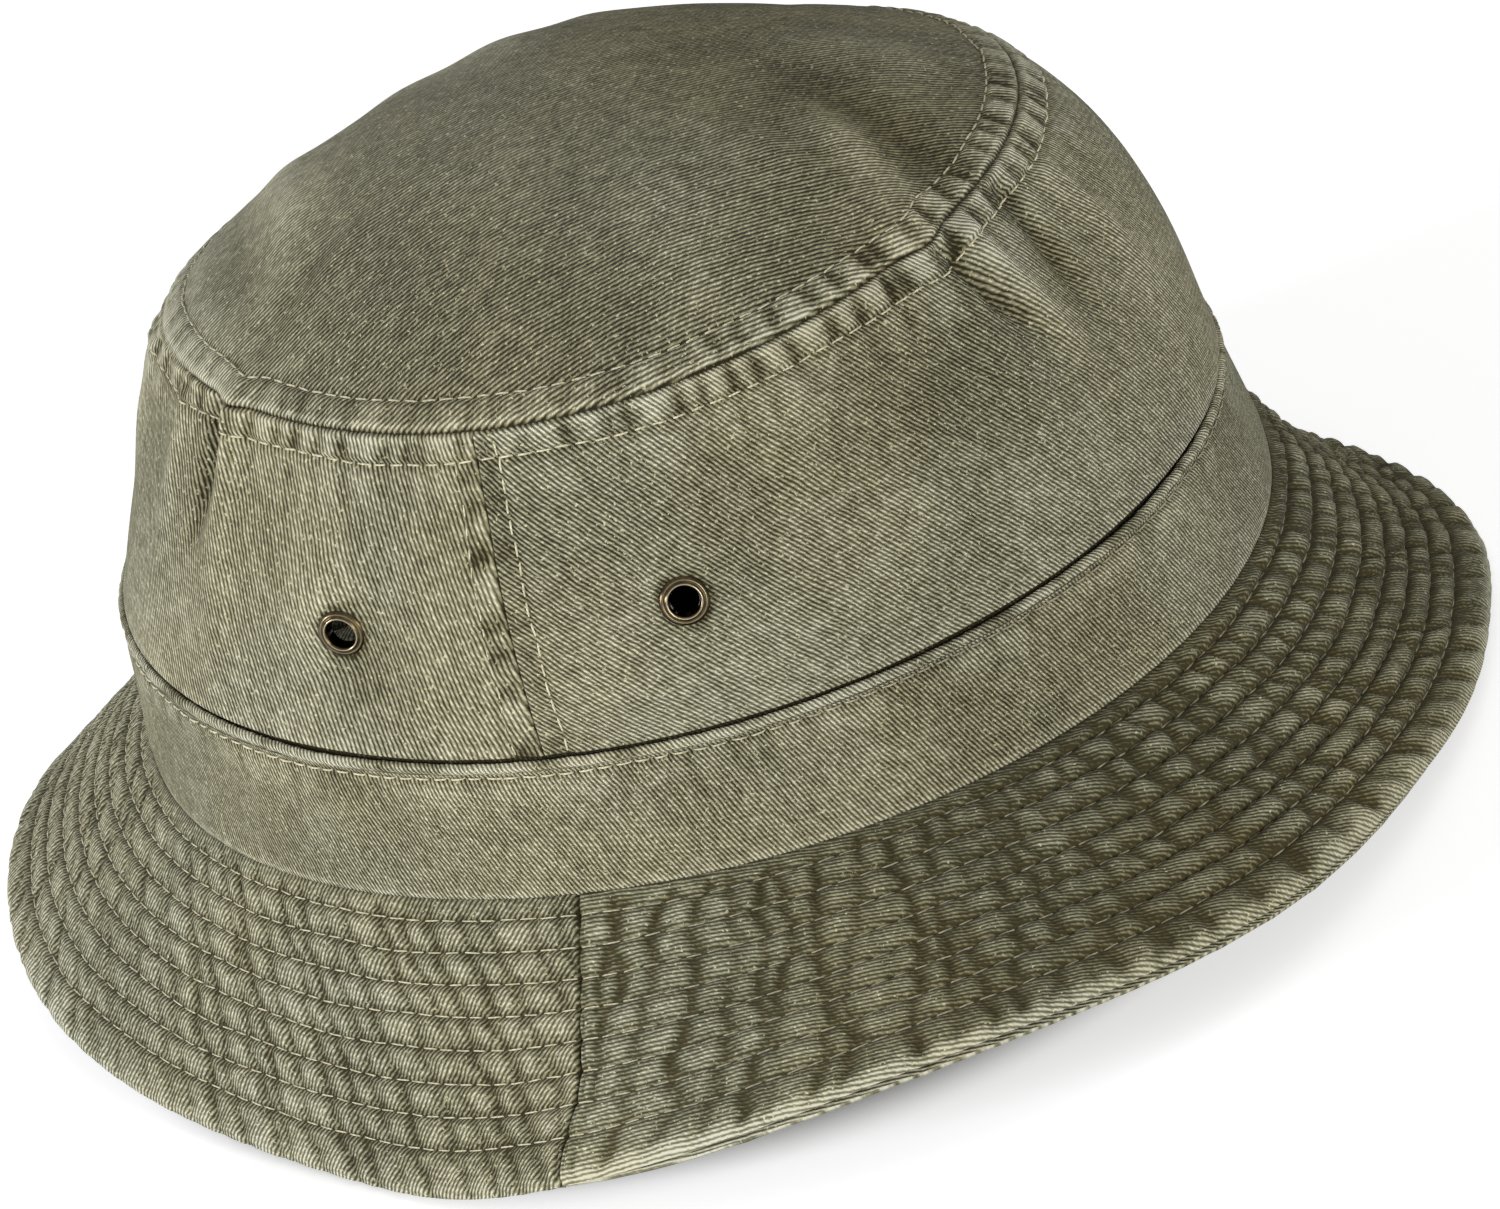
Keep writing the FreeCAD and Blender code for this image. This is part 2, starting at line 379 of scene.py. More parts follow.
def buildTwillGroup():
    # ribs of a twill: flat cloth coordinates in, colour and relief out
    group = bpy.data.node_groups.new("twillWeave", "ShaderNodeTree")
    look = weaveLook
    addSockets(group, "INPUT", ("Flat", "Vector"), ("Fade", "Float", 0.5),
               ("Rib pitch", "Float", look["pitch"]), ("Rib", "Color"), ("Valley", "Color"),
               ("Unworn", "Color", (1.06, 0.98, 0.80, 1)), ("Worn", "Color"),
               ("Fleck", "Color", (0.80, 0.76, 0.50, 1)))
    addSockets(group, "OUTPUT", ("Color", "Color"), ("Height", "Float"), ("Roughness", "Float"))
    source = add(group, "NodeGroupInput").outputs
    result = add(group, "NodeGroupOutput").inputs
    flat = source["Flat"]
    split = add(group, "ShaderNodeSeparateXYZ")
    put(group, split.inputs[0], flat)
    aside, along = split.outputs[:2]

    across = maths(group, "DIVIDE", aside, source["Rib pitch"])
    for scale, far in (look["sway"], look["waver"]):
        across = maths(group, "ADD", across, maths(group, "MULTIPLY", noise(group, flat, scale), far))
    ribPlace = maths(group, "FRACT", across)
    ribNumber = maths(group, "FLOOR", across)
    rib = maths(group, "SINE", maths(group, "MULTIPLY", ribPlace, math.pi))
    rib = maths(group, "POWER", rib, look["ribShape"])

    # each rib is one yarn, thicker and paler in places
    yarnPlace = add(group, "ShaderNodeCombineXYZ")
    put(group, yarnPlace.inputs[0], maths(group, "MULTIPLY", ribNumber, 7.31))
    put(group, yarnPlace.inputs[1], maths(group, "DIVIDE", along, look["slub"]))
    slub = noise(group, yarnPlace.outputs[0], 1.0, 3.0, 0.75)
    twist = addUp(group, maths(group, "DIVIDE", along, look["twist"]), ribPlace,
                  maths(group, "MULTIPLY", slub, 1.5), maths(group, "MULTIPLY", ribNumber, 0.37))
    twist = maths(group, "SINE", maths(group, "MULTIPLY", twist, circle))
    twist = maths(group, "MULTIPLY_ADD", twist, 0.5, 0.5)
    cloud = noise(group, flat, look["cloud"], 4.0, 0.65)
    fleck = noise(group, flat, look["fleck"], 1.0)
    mottle = noise(group, flat, look["mottle"], 2.0, 0.6)
    slowTint = noise(group, flat, look["slowTint"], 2.0)

    tone = maths(group, "MULTIPLY", rib, maths(group, "MULTIPLY_ADD", twist, 0.36, 0.68))
    tone = maths(group, "MULTIPLY", tone, maths(group, "MULTIPLY_ADD", source["Fade"], 0.9, 0.55))
    tone = addUp(group, tone, remap(group, slub, 0.3, 0.7, -0.13, 0.17),
                 remap(group, source["Fade"], 0.0, 1.0, -0.44, 0.50),
                 remap(group, cloud, 0.3, 0.7, -0.07, 0.07), remap(group, mottle, 0.3, 0.7, -0.05, 0.045))
    # the valley colour is partly the cloth's own darker colour and partly painted shade between the ribs; the
    # worn and lit colour on the brightest rib tops is partly real wear and partly painted highlight
    colour = blendColour(group, remap(group, tone, -0.05, 0.85, 0.0, 1.0), source["Valley"], source["Rib"])
    colour = blendColour(group, remap(group, tone, 0.70, 1.35, 0.0, 1.0), colour, source["Worn"])
    flecked = maths(group, "MULTIPLY", remap(group, fleck, 0.69, 0.78, 0.0, 0.7),
                    remap(group, source["Fade"], 0.20, 0.45, 0.0, 1.0))
    colour = blendColour(group, flecked, colour, source["Fleck"])
    colour = blendColour(group, remap(group, slowTint, 0.35, 0.65, 0.0, 0.5), colour,
                         (1.0, 0.93, 0.80, 1), "MULTIPLY")
    colour = blendColour(group, remap(group, source["Fade"], 0.10, 0.42, 0.9, 0.0), colour,
                         source["Unworn"], "MULTIPLY")
    put(group, result["Color"], colour)
    put(group, result["Height"], maths(group, "ADD", rib, maths(group, "MULTIPLY", slub, 0.35)))
    put(group, result["Roughness"], remap(group, tone, 0.0, 1.0, 0.95, 0.82))


def painted(tree, name):
    return add(tree, "ShaderNodeAttribute", attribute_name=name).outputs["Fac"]


def placeGroup(tree, name, values):
    # a shader group with its own values, colours given as three numbers
    node = add(tree, "ShaderNodeGroup", node_tree=bpy.data.node_groups[name])
    for socket, value in values.items():
        put(tree, node.inputs[socket], (*value, 1) if isinstance(value, tuple) else value)
    return node


def finishSurface(tree, colour, weave, relief, plain):
    lift = add(tree, "ShaderNodeBump")
    put(tree, lift.inputs["Distance"], relief)
    put(tree, lift.inputs["Height"], weave.outputs["Height"])
    shader = add(tree, "ShaderNodeBsdfPrincipled")
    put(tree, shader.inputs["Base Color"], colour)
    put(tree, shader.inputs["Roughness"], weave.outputs["Roughness"])
    put(tree, shader.inputs["Normal"], lift.outputs[0])
    for name, value in plain.items():
        put(tree, shader.inputs[name], value)
    put(tree, add(tree, "ShaderNodeOutputMaterial").inputs["Surface"], shader.outputs[0])


def buildTwill(name, rib, valley, wearAndShading, pitch=weaveLook["pitch"], relief=weaveLook["relief"]):
    material = bpy.data.materials.new(name)
    tree = nodeTree(material)
    weave = placeGroup(tree, "twillWeave", {
        "Flat": add(tree, "ShaderNodeUVMap", uv_map="flat").outputs[0], "Fade": painted(tree, "fade"),
        "Rib pitch": pitch, "Rib": rib, "Valley": valley, "Worn": wearAndShading})
    finishSurface(tree, weave.outputs["Color"], weave, relief, {
        "Specular IOR Level": 0.15, "Sheen Weight": 0.06, "Sheen Roughness": 0.45,
        "Sheen Tint": (0.80, 0.92, 1.0, 1)})
    return material


def buildGrainGroup():
    # fine grain of thread, stiffener and brass: two colours mixed, roughness and relief
    group = bpy.data.node_groups.new("grain", "ShaderNodeTree")
    addSockets(group, "INPUT", ("Place", "Vector"), ("Scale", "Float", 700), ("Base roughness", "Float", 0.7),
               ("Light", "Color"), ("Dark", "Color"))
    addSockets(group, "OUTPUT", ("Color", "Color"), ("Roughness", "Float"), ("Height", "Float"))
    source = add(group, "NodeGroupInput").outputs
    result = add(group, "NodeGroupOutput").inputs
    grain = noise(group, source["Place"], source["Scale"], 3.0, 0.6, flat=False)
    put(group, result["Color"], blendColour(group, remap(group, grain, 0.35, 0.65, 0.0, 1.0),
                                            source["Dark"], source["Light"]))
    put(group, result["Roughness"], maths(group, "ADD", source["Base roughness"],
                                          remap(group, grain, 0.3, 0.7, -0.08, 0.08)))
    put(group, result["Height"], grain)


def buildGrained(name, light, dark, roughness, scale, metallic=0.0, relief=0.0001, rubbedAndGlinting=None, dimmed=False):
    material = bpy.data.materials.new(name)
    tree = nodeTree(material)
    place = add(tree, "ShaderNodeTexCoord").outputs["Object"]
    grain = placeGroup(tree, "grain", {"Place": place, "Scale": scale, "Base roughness": roughness,
                                       "Light": light, "Dark": dark})
    colour = grain.outputs["Color"]
    # brighter colour on the flange's rings: partly rubbed brass, partly painted highlight
    if rubbedAndGlinting:
        colour = blendColour(tree, painted(tree, "rubAndGlint"), colour, (*rubbedAndGlinting, 1))
    # the thread is dimmed by the values it carries, darker on the front brim and the band's front: painted
    # shade
    if dimmed:
        dim = remap(tree, painted(tree, "fade"), 0.05, 0.60, 0.22, 1.0)
        colour = blendColour(tree, 1.0, colour, dim, "MULTIPLY")
    finishSurface(tree, colour, grain, relief, {"Metallic": metallic})
    return material


buildTwillGroup()
buildGrainGroup()
# cloth is given the colours of its ribs, of the valleys between them, partly painted shade, and of its worn
# and lit rib tops, partly painted highlight, then rib pitch and relief; the rest their light and dark grain,
# roughness and grain scale
finishes = {
    "twill": buildTwill("oliveTwill", (0.345, 0.331, 0.208), (0.029, 0.025, 0.010), (0.72, 0.71, 0.565)),
    "brimTwill": buildTwill("brimTwill", (0.318, 0.311, 0.198), (0.038, 0.035, 0.017), (0.70, 0.695, 0.56),
                            0.00074, 0.00026),
    "brimFront": buildTwill("brimFrontTwill", (0.30, 0.295, 0.188), (0.056, 0.052, 0.027),
                            (0.66, 0.655, 0.52), 0.00071, 0.00018),
    "tape": buildTwill("tapeTwill", (0.22, 0.21, 0.14), (0.07, 0.065, 0.04), (0.42, 0.40, 0.30),
                       0.0005, 0.0001),
    "thread": buildGrained("oliveThread", (0.86, 0.81, 0.58), (0.50, 0.46, 0.29), 0.7, 1800,
                           relief=0.00006, dimmed=True),
    "interlining": buildGrained("stiffener", (0.66, 0.64, 0.56), (0.50, 0.48, 0.42), 0.9, 700),
    "brass": buildGrained("antiqueBrass", (0.075, 0.055, 0.026), (0.032, 0.023, 0.011), 0.26, 420,
                          metallic=1.0, relief=0.00001, rubbedAndGlinting=(0.50, 0.43, 0.29)),
}


def dress(piece, finish, node=None):
    piece.data.materials.clear()
    piece.data.materials.append(finishes[finish])
    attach(piece, "root")
    if node:
        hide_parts(node)


# vents of the crown
eyeletLook = {
    # angle, height, panel, and how the cloth tilts there: round the head, upwards
    "places": {"rightFront": (-90 + 17.6, 43.6, "Front", 0.0, -0.08),
               "rightRear": (-90 - 20.7, 43.0, "Rear", -0.34, -0.26),
               "leftFront": (90 - 17.6, 42.6, "Front", 0.0, 0.0),
               "leftRear": (90 + 20.7, 42.6, "Rear", 0.0, 0.0)},
    "hole": 2.9,
    "degree": 1.5,              # millimetres in a degree round the wall at this height
    "shade": (3.9, 0.45),       # painted shadow ring in the cloth round the flange: radius and half width
    "rubbedAndGlinting": ((2.78, 0.95), (3.46, 0.40)),     # bright rings on the flange, partly rubbed brass and partly painted highlight: radius and how bright
}


# side panels of the crown
panelLook = {
    "grid": 0.95,
    "flatTurn": 0.24,           # how much the flat cut curves
    "flatRadius": 400.0,
    "twill": {"Front": (-26.0, 1.0), "Rear": (-37.0, 0.77)},       # ribs from upright, and how close they lie
    "tipStrip": 4.2,            # tip seam to its topstitching
    "frontStrip": 3.7,          # side seam to topstitching, front panel
    "rearStrip": 4.3,           # the same on the rear panel, over the turned allowance
    "flat": (0.295, 0.095),
    "area": 0.0198,
    "seamLine": 1.0,            # side seam stitching starts this far above the band
    "columnsAt": (0.12, 0.25, 0.45, 0.8, 1.2, 1.7),     # extra columns of the mesh beside a seam
    "ledges": ((-29.5, -1), (-131.5, 1)),       # angle, and which way the cloth stands up
    "ledgeDegree": 1.35,        # millimetres in a degree at the tip seam
    "foldDegree": 1.45,
    # folds: angle and height at one end and at the other, half width, lift
    "folds": (
        ((-134.5, 72.5), (-137.0, 46.0), 2.8, -2.3),
        ((-129.0, 72.5), (-131.0, 54.0), 2.6, 0.7),
        ((-144.0, 70.0), (-145.0, 42.0), 3.0, 1.0),
        ((-165.0, 70.5), (-166.0, 44.0), 9.0, 1.6),
        ((-28.0, 72.0), (-23.0, 53.0), 1.6, -2.2),
        ((-22.5, 71.0), (-19.0, 46.0), 2.8, 2.1),
        ((-33.0, 70.0), (-34.5, 58.0), 2.4, 1.0),
        ((-12.0, 71.0), (-14.5, 48.0), 2.6, -2.2),
        ((-4.0, 68.0), (-2.0, 42.0), 4.0, 1.2),
        ((20.0, 74.0), (18.0, 50.0), 7.0, 0.4),
        ((-52.0, 66.0), (-60.0, 44.0), 6.0, 0.6),
        ((-45.0, 48.0), (-55.0, 28.0), 6.0, 0.5),
        ((-100.0, 60.0), (-108.0, 30.0), 5.0, 0.4),
        ((150.0, 66.0), (158.0, 35.0), 5.0, 0.9),
        ((60.0, 68.0), (52.0, 40.0), 4.0, 0.9),
        ((100.0, 60.0), (112.0, 34.0), 5.0, -0.8),
    ),
}


def bandGap(theta):
    mean, once, twice = hatShape["gap"]
    return mean + once * np.cos(theta) + twice * np.cos(2 * theta)


def panelShape(theta, height):
    slant, tall = hatShape["seamSlant"]
    share = np.clip((height - bandHeight) / tall, 0, 1)
    theta = theta - np.radians(slant) * share * bump(turnFrom(theta, -90), 9.0)
    out = outward(hatShape["bandTop"], theta)
    below = bandShape(theta, height) - out * inwards
    low = ringPoints(hatShape["bandTop"], theta) - out * inwards
    tip = ringPoints(hatShape["tipSeam"], theta)
    rise = (height - bandHeight) / (tipHeight - bandHeight)
    share = np.clip(rise, 0, 1)
    bulge, roll = (mean + front * np.cos(theta) for mean, front in (hatShape["bulge"], hatShape["swell"]))
    roll = roll * step(height - bandHeight - bandGap(theta), 0, 0.6) * (1 - share)
    place, width, stand = hatShape["shoulder"]
    shoulder = stand * bump(turnFrom(theta, place), width) * np.sin(np.pi * share ** 2.2)
    belly = bulge * np.sin(np.pi * share) ** 1.1 + roll + shoulder
    above = low + (tip - low) * rise[..., None] + out * belly[..., None]
    return np.where(height[..., None] < bandHeight, below, above)


def panelSlow(theta, height):
    # long soft undulation, the cloth's tilt at the eyelets, and the listed folds
    free = step(tipHeight - height, 1, 14) * step(height, 18, 32)
    off = 0.75 * ringNoise(theta, 13, height * 0.035, 15) + 0.4 * ringNoise(theta, 31, height * 0.06, 16)
    off = off * free
    for place, up, _, around, lean in eyeletLook["places"].values():
        x, y = turnFrom(theta, place) * eyeletLook["degree"], height - up
        off = off + (around * x - lean * y) * bump(np.hypot(x, y), 9.0)
    degree = panelLook["foldDegree"]
    for (place, up), (endPlace, endUp), width, lift in panelLook["folds"]:
        end = ((endPlace - place) * degree, endUp - up)
        off = off + foldLift(turnFrom(theta, place) * degree, height - up, end, width, lift, (-1, 2), 0.45)
    return off


def seamPuffs(theta, far):
    # the gathered cloth along the tip seam, 1 on the puffs and -1 in the valleys
    around = theta % circle * tipSeamRadius
    valley = creases(around, far * 0.12 + 1, 86, circle * tipSeamRadius, 11, 0.9, 0.6, 1.15, 1.7)
    return 1 - 1.9 * np.minimum(valley * 1.25, 1) + 0.2 * ringNoise(theta, 260, far * 0.2, 12)


def flatSeam(theta):
    # the tip seam closes up at the rear
    return 1 - step(-turnFrom(theta, -141), 0, 8) * step(turnFrom(theta, 150), 0, 20)


def panelDetail(theta, height, distance, strip, raised):
    # how far the cloth stands off its plain shape, and how faded it is, with painted shade and highlight in
    # that colour
    fromTip = tipHeight - height
    overBand = height - bandHeight
    stitchLine = panelLook["tipStrip"]
    ripple = seamPuffs(theta, fromTip)
    tipStrip = onStrip(fromTip, stitchLine)
    echo = bump(fromTip - stitchLine - 3.2, 3.0) * step(fromTip, stitchLine, stitchLine + 1.5)
    slow = panelSlow(theta, height)
    front = 0.65 + 0.35 * step(turnFrom(theta, -95), 0, 30)
    # the seam steps in where the cloth is tucked and at the corner
    ledges = 0 * theta
    for place, way in panelLook["ledges"]:
        x = way * turnFrom(theta, place) * panelLook["ledgeDegree"]
        ledges = ledges + step(x, -0.1, 0.9) * np.exp(-np.maximum(x, 0) / 8.0) * bump(fromTip, 6.0)
    # the side seam's own valleys, one above another
    valley = creases(height + 0.2 * distance, 0 * height, 11, 74.0, 13, 0.2, 0.7, 1.5, 1.8)
    upRipple = 1 - 2 * np.minimum(1, 1.6 * valley)
    sideStrip = onStrip(distance, strip) * step(fromTip, 1.0, 2.5)

    off = slow - 0.7 * flatSeam(theta) * bump(fromTip, 0.22) + tipStrip * (0.28 + 0.48 * front * ripple)
    off = off + 0.20 * echo * ripple - 0.4 * bump(fromTip - stitchLine, 0.45) + 0.75 * ledges
    off = off + sideStrip * ((0.16 + 0.34 * upRipple) if raised else (-0.10 + 0.07 * upRipple))
    off = off - 0.35 * bump(distance, 0.14) - 0.3 * bump(distance - strip, 0.4)

    # lighter on folds, ledges and puffs and darker in their valleys: partly wash wear, partly painted shade
    # and highlight
    wearAndShading = 0.50 + 0.08 * slow + 0.10 * ledges + tipStrip * (0.30 * front * ripple - 0.08)
    wearAndShading = wearAndShading + 0.08 * echo * ripple
    wearAndShading = wearAndShading + (0.16 * upRipple - 0.10 if raised else 0.08 * upRipple - 0.08) * sideStrip
    # darker along the tip seam and the side seam: painted shade in their creases
    wearAndShading = wearAndShading - 0.4 * flatSeam(theta) * bump(fromTip, 0.20) - 0.35 * bump(distance, 0.14)
    # lighter just below the tip seam and along the raised side seam's edge: partly worn edge, partly painted
    # highlight
    wearAndShading = wearAndShading + 0.16 * bump(fromTip - 1.0, 0.5) + (0.04 * bump(distance - 0.7, 0.4) if raised else 0)
    # darker along the topstitching: painted shade in its grooves
    wearAndShading = wearAndShading - 0.10 * bump(fromTip - stitchLine, 0.7) - 0.08 * bump(distance - strip, 0.7)
    # painted shadow in the gap where the side panel rolls out over the band's edge, and a little lighter on
    # the roll just above it
    wearAndShading = wearAndShading + 0.05 * bump(overBand - 2.2, 1.0) - 0.9 * (1 - step(overBand - bandGap(theta), 0.15, 0.5))
    # a painted shadow ring in the cloth round each eyelet's flange
    ring, soft = eyeletLook["shade"]
    for place, up, *_ in eyeletLook["places"].values():
        away = np.hypot(turnFrom(theta, place) * eyeletLook["degree"], height - up)
        wearAndShading = wearAndShading - 0.30 * bump(away - ring, soft)
    return off, wearAndShading


# where each half starts and ends, and whether its seam allowance is turned under it
panelSpans = {"Front": (rightSeam, leftSeam, False), "Rear": (leftSeam, leftSeam + math.pi, True)}


def panelSurface(side, theta, height):
    start, end, raised = panelSpans[side]
    distance = np.minimum(theta - start, end - theta) * wallRadius
    strip = panelLook["rearStrip" if raised else "frontStrip"]
    off, wearAndShading = panelDetail(theta, height, distance, strip, raised)
    normal = normalAt(panelShape, theta, height)
    return panelShape(theta, height) + normal * off[..., None], normal, wearAndShading


def seamEdges(start, end, grid, radius):
    # columns that crowd towards both seams
    theta = np.linspace(start, end, int((end - start) * radius / grid))
    close = np.array(panelLook["columnsAt"]) / radius
    return np.unique(np.concatenate([theta, start + close, end - close]))


def eyeletSeat(name):
    # the middle of the hole, and the cloth's own direction from four points round it
    degrees, height, side = eyeletLook["places"][name][:3]
    theta = np.radians(degrees) + np.array([0, 0.02, 0, -0.02, 0])
    heights = height + np.array([0, 0, 1.8, 0, -1.8])
    point = panelSurface(side, theta, heights)[0]
    normal = np.cross(point[1] - point[3], point[2] - point[4])
    return point[0], normal / np.linalg.norm(normal)


def buildPanel(side):
    start, end = panelSpans[side][:2]
    # rows of the mesh crowd at the band's edge and at the tip seam
    nearBand = np.array([0, 0.2, 0.35, 0.5, 0.65, 0.8, 0.95, 1.1, 1.25, 1.4, 1.6, 1.9, 2.3, 2.8, 3.4])
    nearTip = np.array([1.2, 0.9, 0.65, 0.45, 0.28, 0.14, 0.0])
    heights = np.concatenate([
        np.arange(0.2, 20, 1.6), np.arange(20, 22.8, 0.7), bandHeight + nearBand,
        np.arange(27, 65, panelLook["grid"]), np.arange(65, tipHeight - 1.2, 0.6), tipHeight - nearTip])
    theta, height = np.meshgrid(seamEdges(start, end, panelLook["grid"], wallRadius), heights)
    points, _, wearAndShading = panelSurface(side, theta, height)
    flatRadius = panelLook["flatRadius"] - height
    turn = (theta - (start + end) / 2) * panelLook["flatTurn"]
    lean, close = panelLook["twill"][side]
    uv = turned(flatRadius * np.sin(turn), -flatRadius * np.cos(turn), lean) * close
    holes = [(eyeletSeat(n)[0], eyeletLook["hole"]) for n, p in eyeletLook["places"].items() if p[2] == side]
    piece = sheetMesh("sidePanel" + side, points, uv, wearAndShading, thickness=hatShape["cloth"], holes=holes)
    dress(piece, "twill", "side_panel_" + side.lower())


for side in panelSpans:
    buildPanel(side)
print("side panels done")


# top panel of the crown
tipLook = {
    "twill": 27.0,              # ribs from the front towards +Y
    "close": 0.88,
    "spread": (0.0013, -0.0006),        # how the ribs fan out towards the rear
    "strip": 4.6,               # tip seam to its topstitching
    "radius": 73.0,
    "columns": 460,
    "flat": (0.158, 0.152),
    "area": 0.0188,
    # folds: plan position of both ends, half width, lift
    "folds": (
        ((64, -31), (44, -8), 4.0, 1.2),
        ((66, -18), (36, 4), 5.5, -1.2),
        ((60, 10), (30, 12), 6.0, 0.8),
        ((-60, 2), (-44, -48), 5.0, -0.8),
        ((-52, 10), (-34, -40), 5.0, 0.8),
        ((-42, -50), (-30, -30), 3.5, -0.7),
        ((34, -54), (22, -20), 7.0, 0.5),
        ((-10, 66), (-4, 30), 7.0, 1.2),
        ((30, 60), (18, 30), 6.0, -0.7),
        ((-50, 44), (-24, 22), 9.0, 1.7),
        ((-34, 60), (-6, 8), 8.5, 1.7),
    ),
}


def tipShape(theta, fromSeam):
    share = 1 - fromSeam / tipLook["radius"]
    rim = ringPoints(hatShape["tipSeam"], theta)
    middle = np.array([*hatShape["tipSeam"]["centre"], tipHeight])
    base = middle + (rim - middle) * share[..., None]
    size = np.abs(share)
    base[..., 2] = middle[2] + (rim[..., 2] - middle[2]) * size ** 2 + hatShape["tipRise"] * (1 - size ** 2.2)
    return base


def tipSurface(theta, fromSeam):
    base = tipShape(theta, fromSeam)
    normal = normalAt(tipShape, theta, fromSeam)
    x, y = base[..., 0], base[..., 1]
    stitchLine = tipLook["strip"]
    ripple = seamPuffs(theta, fromSeam) * (0.4 + 0.6 * bump(turnFrom(theta, -8), 55))
    strip = onStrip(fromSeam, stitchLine, 0.8)
    slow = 0.8 * softNoise(x * 0.028 + 9, y * 0.028 + 9, 23)
    slow = slow + 0.35 * softNoise(x * 0.075 + 9, y * 0.075 + 9, 24)
    folds = 0 * x
    for (x0, y0), (x1, y1), width, lift in tipLook["folds"]:
        folds = folds + foldLift(x - x0, y - y0, (x1 - x0, y1 - y0), width, lift, (-8, 4), 0.5)
    off = 0.15 - 0.5 * flatSeam(theta) * bump(fromSeam, 0.18) + strip * (0.24 + 0.36 * ripple)
    off = off - 0.3 * bump(fromSeam - stitchLine, 0.45) + slow * step(fromSeam, 1.5, 14)
    off = off + folds * step(fromSeam, 0.5, 5) + 0.14 * bump(fromSeam - 8, 2.5) * ripple
    # lighter on raised folds and puffs and darker in sunken ones: partly wash wear, partly painted shade and
    # highlight
    wearAndShading = 0.43 + 0.05 * slow + 0.12 * folds + 0.26 * ripple * strip
    # darker along the tip seam: painted shade in its crease; lighter just inside it: partly worn edge, partly
    # painted highlight
    wearAndShading = wearAndShading - 0.35 * flatSeam(theta) * bump(fromSeam, 0.18) + 0.18 * bump(fromSeam - 0.8, 0.5)
    # darker along the topstitching: painted shade in its groove; lighter on the left of the tip: painted
    # light, as the light falls from the left
    wearAndShading = wearAndShading - 0.08 * bump(fromSeam - stitchLine, 0.7) + 0.14 * step(-x, 20, 65)
    return base + normal * off[..., None], normal, wearAndShading


def buildTip():
    radius = tipLook["radius"]
    distances = np.concatenate([[0.0, 0.14, 0.28, 0.45, 0.65, 0.9, 1.2], np.arange(1.6, 7, 0.5),
                                np.arange(7, radius - 0.5, 1.0), [radius - 0.02]])
    theta, fromSeam = np.meshgrid(np.linspace(0, circle, tipLook["columns"] + 1), distances)
    points, _, wearAndShading = tipSurface(theta, fromSeam)
    points[:, -1] = points[:, 0]
    x, y = np.moveaxis(tipShape(theta, fromSeam)[..., :2], -1, 0)
    fan, bend = tipLook["spread"]
    uv = turned(x, y * (1 + fan * x) + bend * x ** 2, 90 - tipLook["twill"]) * tipLook["close"]
    piece = sheetMesh("crownTip", points, uv, wearAndShading, closed=True, thickness=hatShape["cloth"])
    dress(piece, "twill", "crown_tip")


buildTip()
print("top panel done")


# brim
brimLook = {
    "width": 46.5,
    "droop": 47.0,              # degrees below level, which the waves and dips change round the ring
    "wave": ((1, -2.3, 7.1), (2, -5.2, 8.2), (3, 7.9, -2.1), (4, -1.0, -2.4)),
    "dips": ((138.0, 24.0, 15.0), (24.0, 26.0, -1.0)),      # angle, half width, degrees more
    "sag": (45, 30, 4.5),       # angle, half width, how far the middle of the brim sinks there
    # where the edge runs a little in or out: angle, half width in degrees, millimetres
    "edge": ((-62, 26, -2.3), (-19, 19, -3.8), (27, 14, 2.3), (-103, 10, 0.9), (-150, 20, 1.0),
             (178, 18, 0.8), (47, 17, -4.0), (7, 15, -2.2)),
    "seamDrift": 2.0,           # how far the right seam wanders back near the edge, degrees
    "grids": (0.72, 1.6, 1.1),  # upper cloth, stiffener, under cloth
    "twill": {"Front": (32.0, 0.682), "Rear": (-3.0, 0.40)},    # ribs from outwards, and the cut's curve
    "seamRadius": 95.5,
    "ringRadius": 112.0,        # where lengths round the quilting are measured
    "meanRadius": 118.0,        # for the columns of the mesh
    "firstRow": 3.3,            # brim seam to the first stitched row
    "rowPitch": 5.1,
    "rows": 8,
    "puff": (0.60, 0.72),       # how high the quilting stands on the rear, and how much more on the front
    "valley": (0.46, 0.16),     # the same for the depth of its valleys
    "groove": (0.24, 0.18),     # and of the stitched rows
    "lean": 1.5,                # how far the valleys lean within a row, millimetres
    "turning": 7.0,             # how far the stiffener stops short of the edge
    "stiffener": 0.5,
    "flat": (0.328, 0.120),
    "area": 0.0163,
}


def brimShape(theta, reach, depth=0.0):
    look = brimLook
    theta = theta - np.radians(look["seamDrift"]) * step(reach, 28, 46) * bump(turnFrom(theta, -90), 8)
    for place, width, more in look["edge"]:
        reach = reach + more * bump(turnFrom(theta, place), width) * step(reach, 15, look["width"])
    fall = look["droop"] + wave(theta, look["wave"])
    for place, width, more in look["dips"]:
        fall = fall + more * bump(turnFrom(theta, place), width)
    fall = np.radians(fall)[..., None]
    place, width, sink = look["sag"]
    sink = sink * bump(turnFrom(theta, place), width) * np.sin(np.pi * reach / look["width"])
    out = outward(hatShape["opening"], theta)
    down = np.array([0, 0, -1.0])
    along = out * np.cos(fall) + down * np.sin(fall)
    square = out * np.sin(fall) - down * np.cos(fall)
    points = ringPoints(hatShape["opening"], theta) + along * reach[..., None]
    return points - square * (depth + sink[..., None])


def rowWander(theta, reach):
    # stitched rows are never quite parallel
    inside = step(reach, 0, 4) * (1 - step(reach, 41, 46))
    drift = 0.28 * ringNoise(theta, 40, reach * 0.1, 71) + 0.12 * ringNoise(theta, 90, reach * 0.1, 72)
    return inside * drift


def brimDark(theta):
    # the front of the brim is darker: partly less faded dye, partly painted shade on the side turned from the
    # light
    return between(theta, -95, 50, 70, 60)


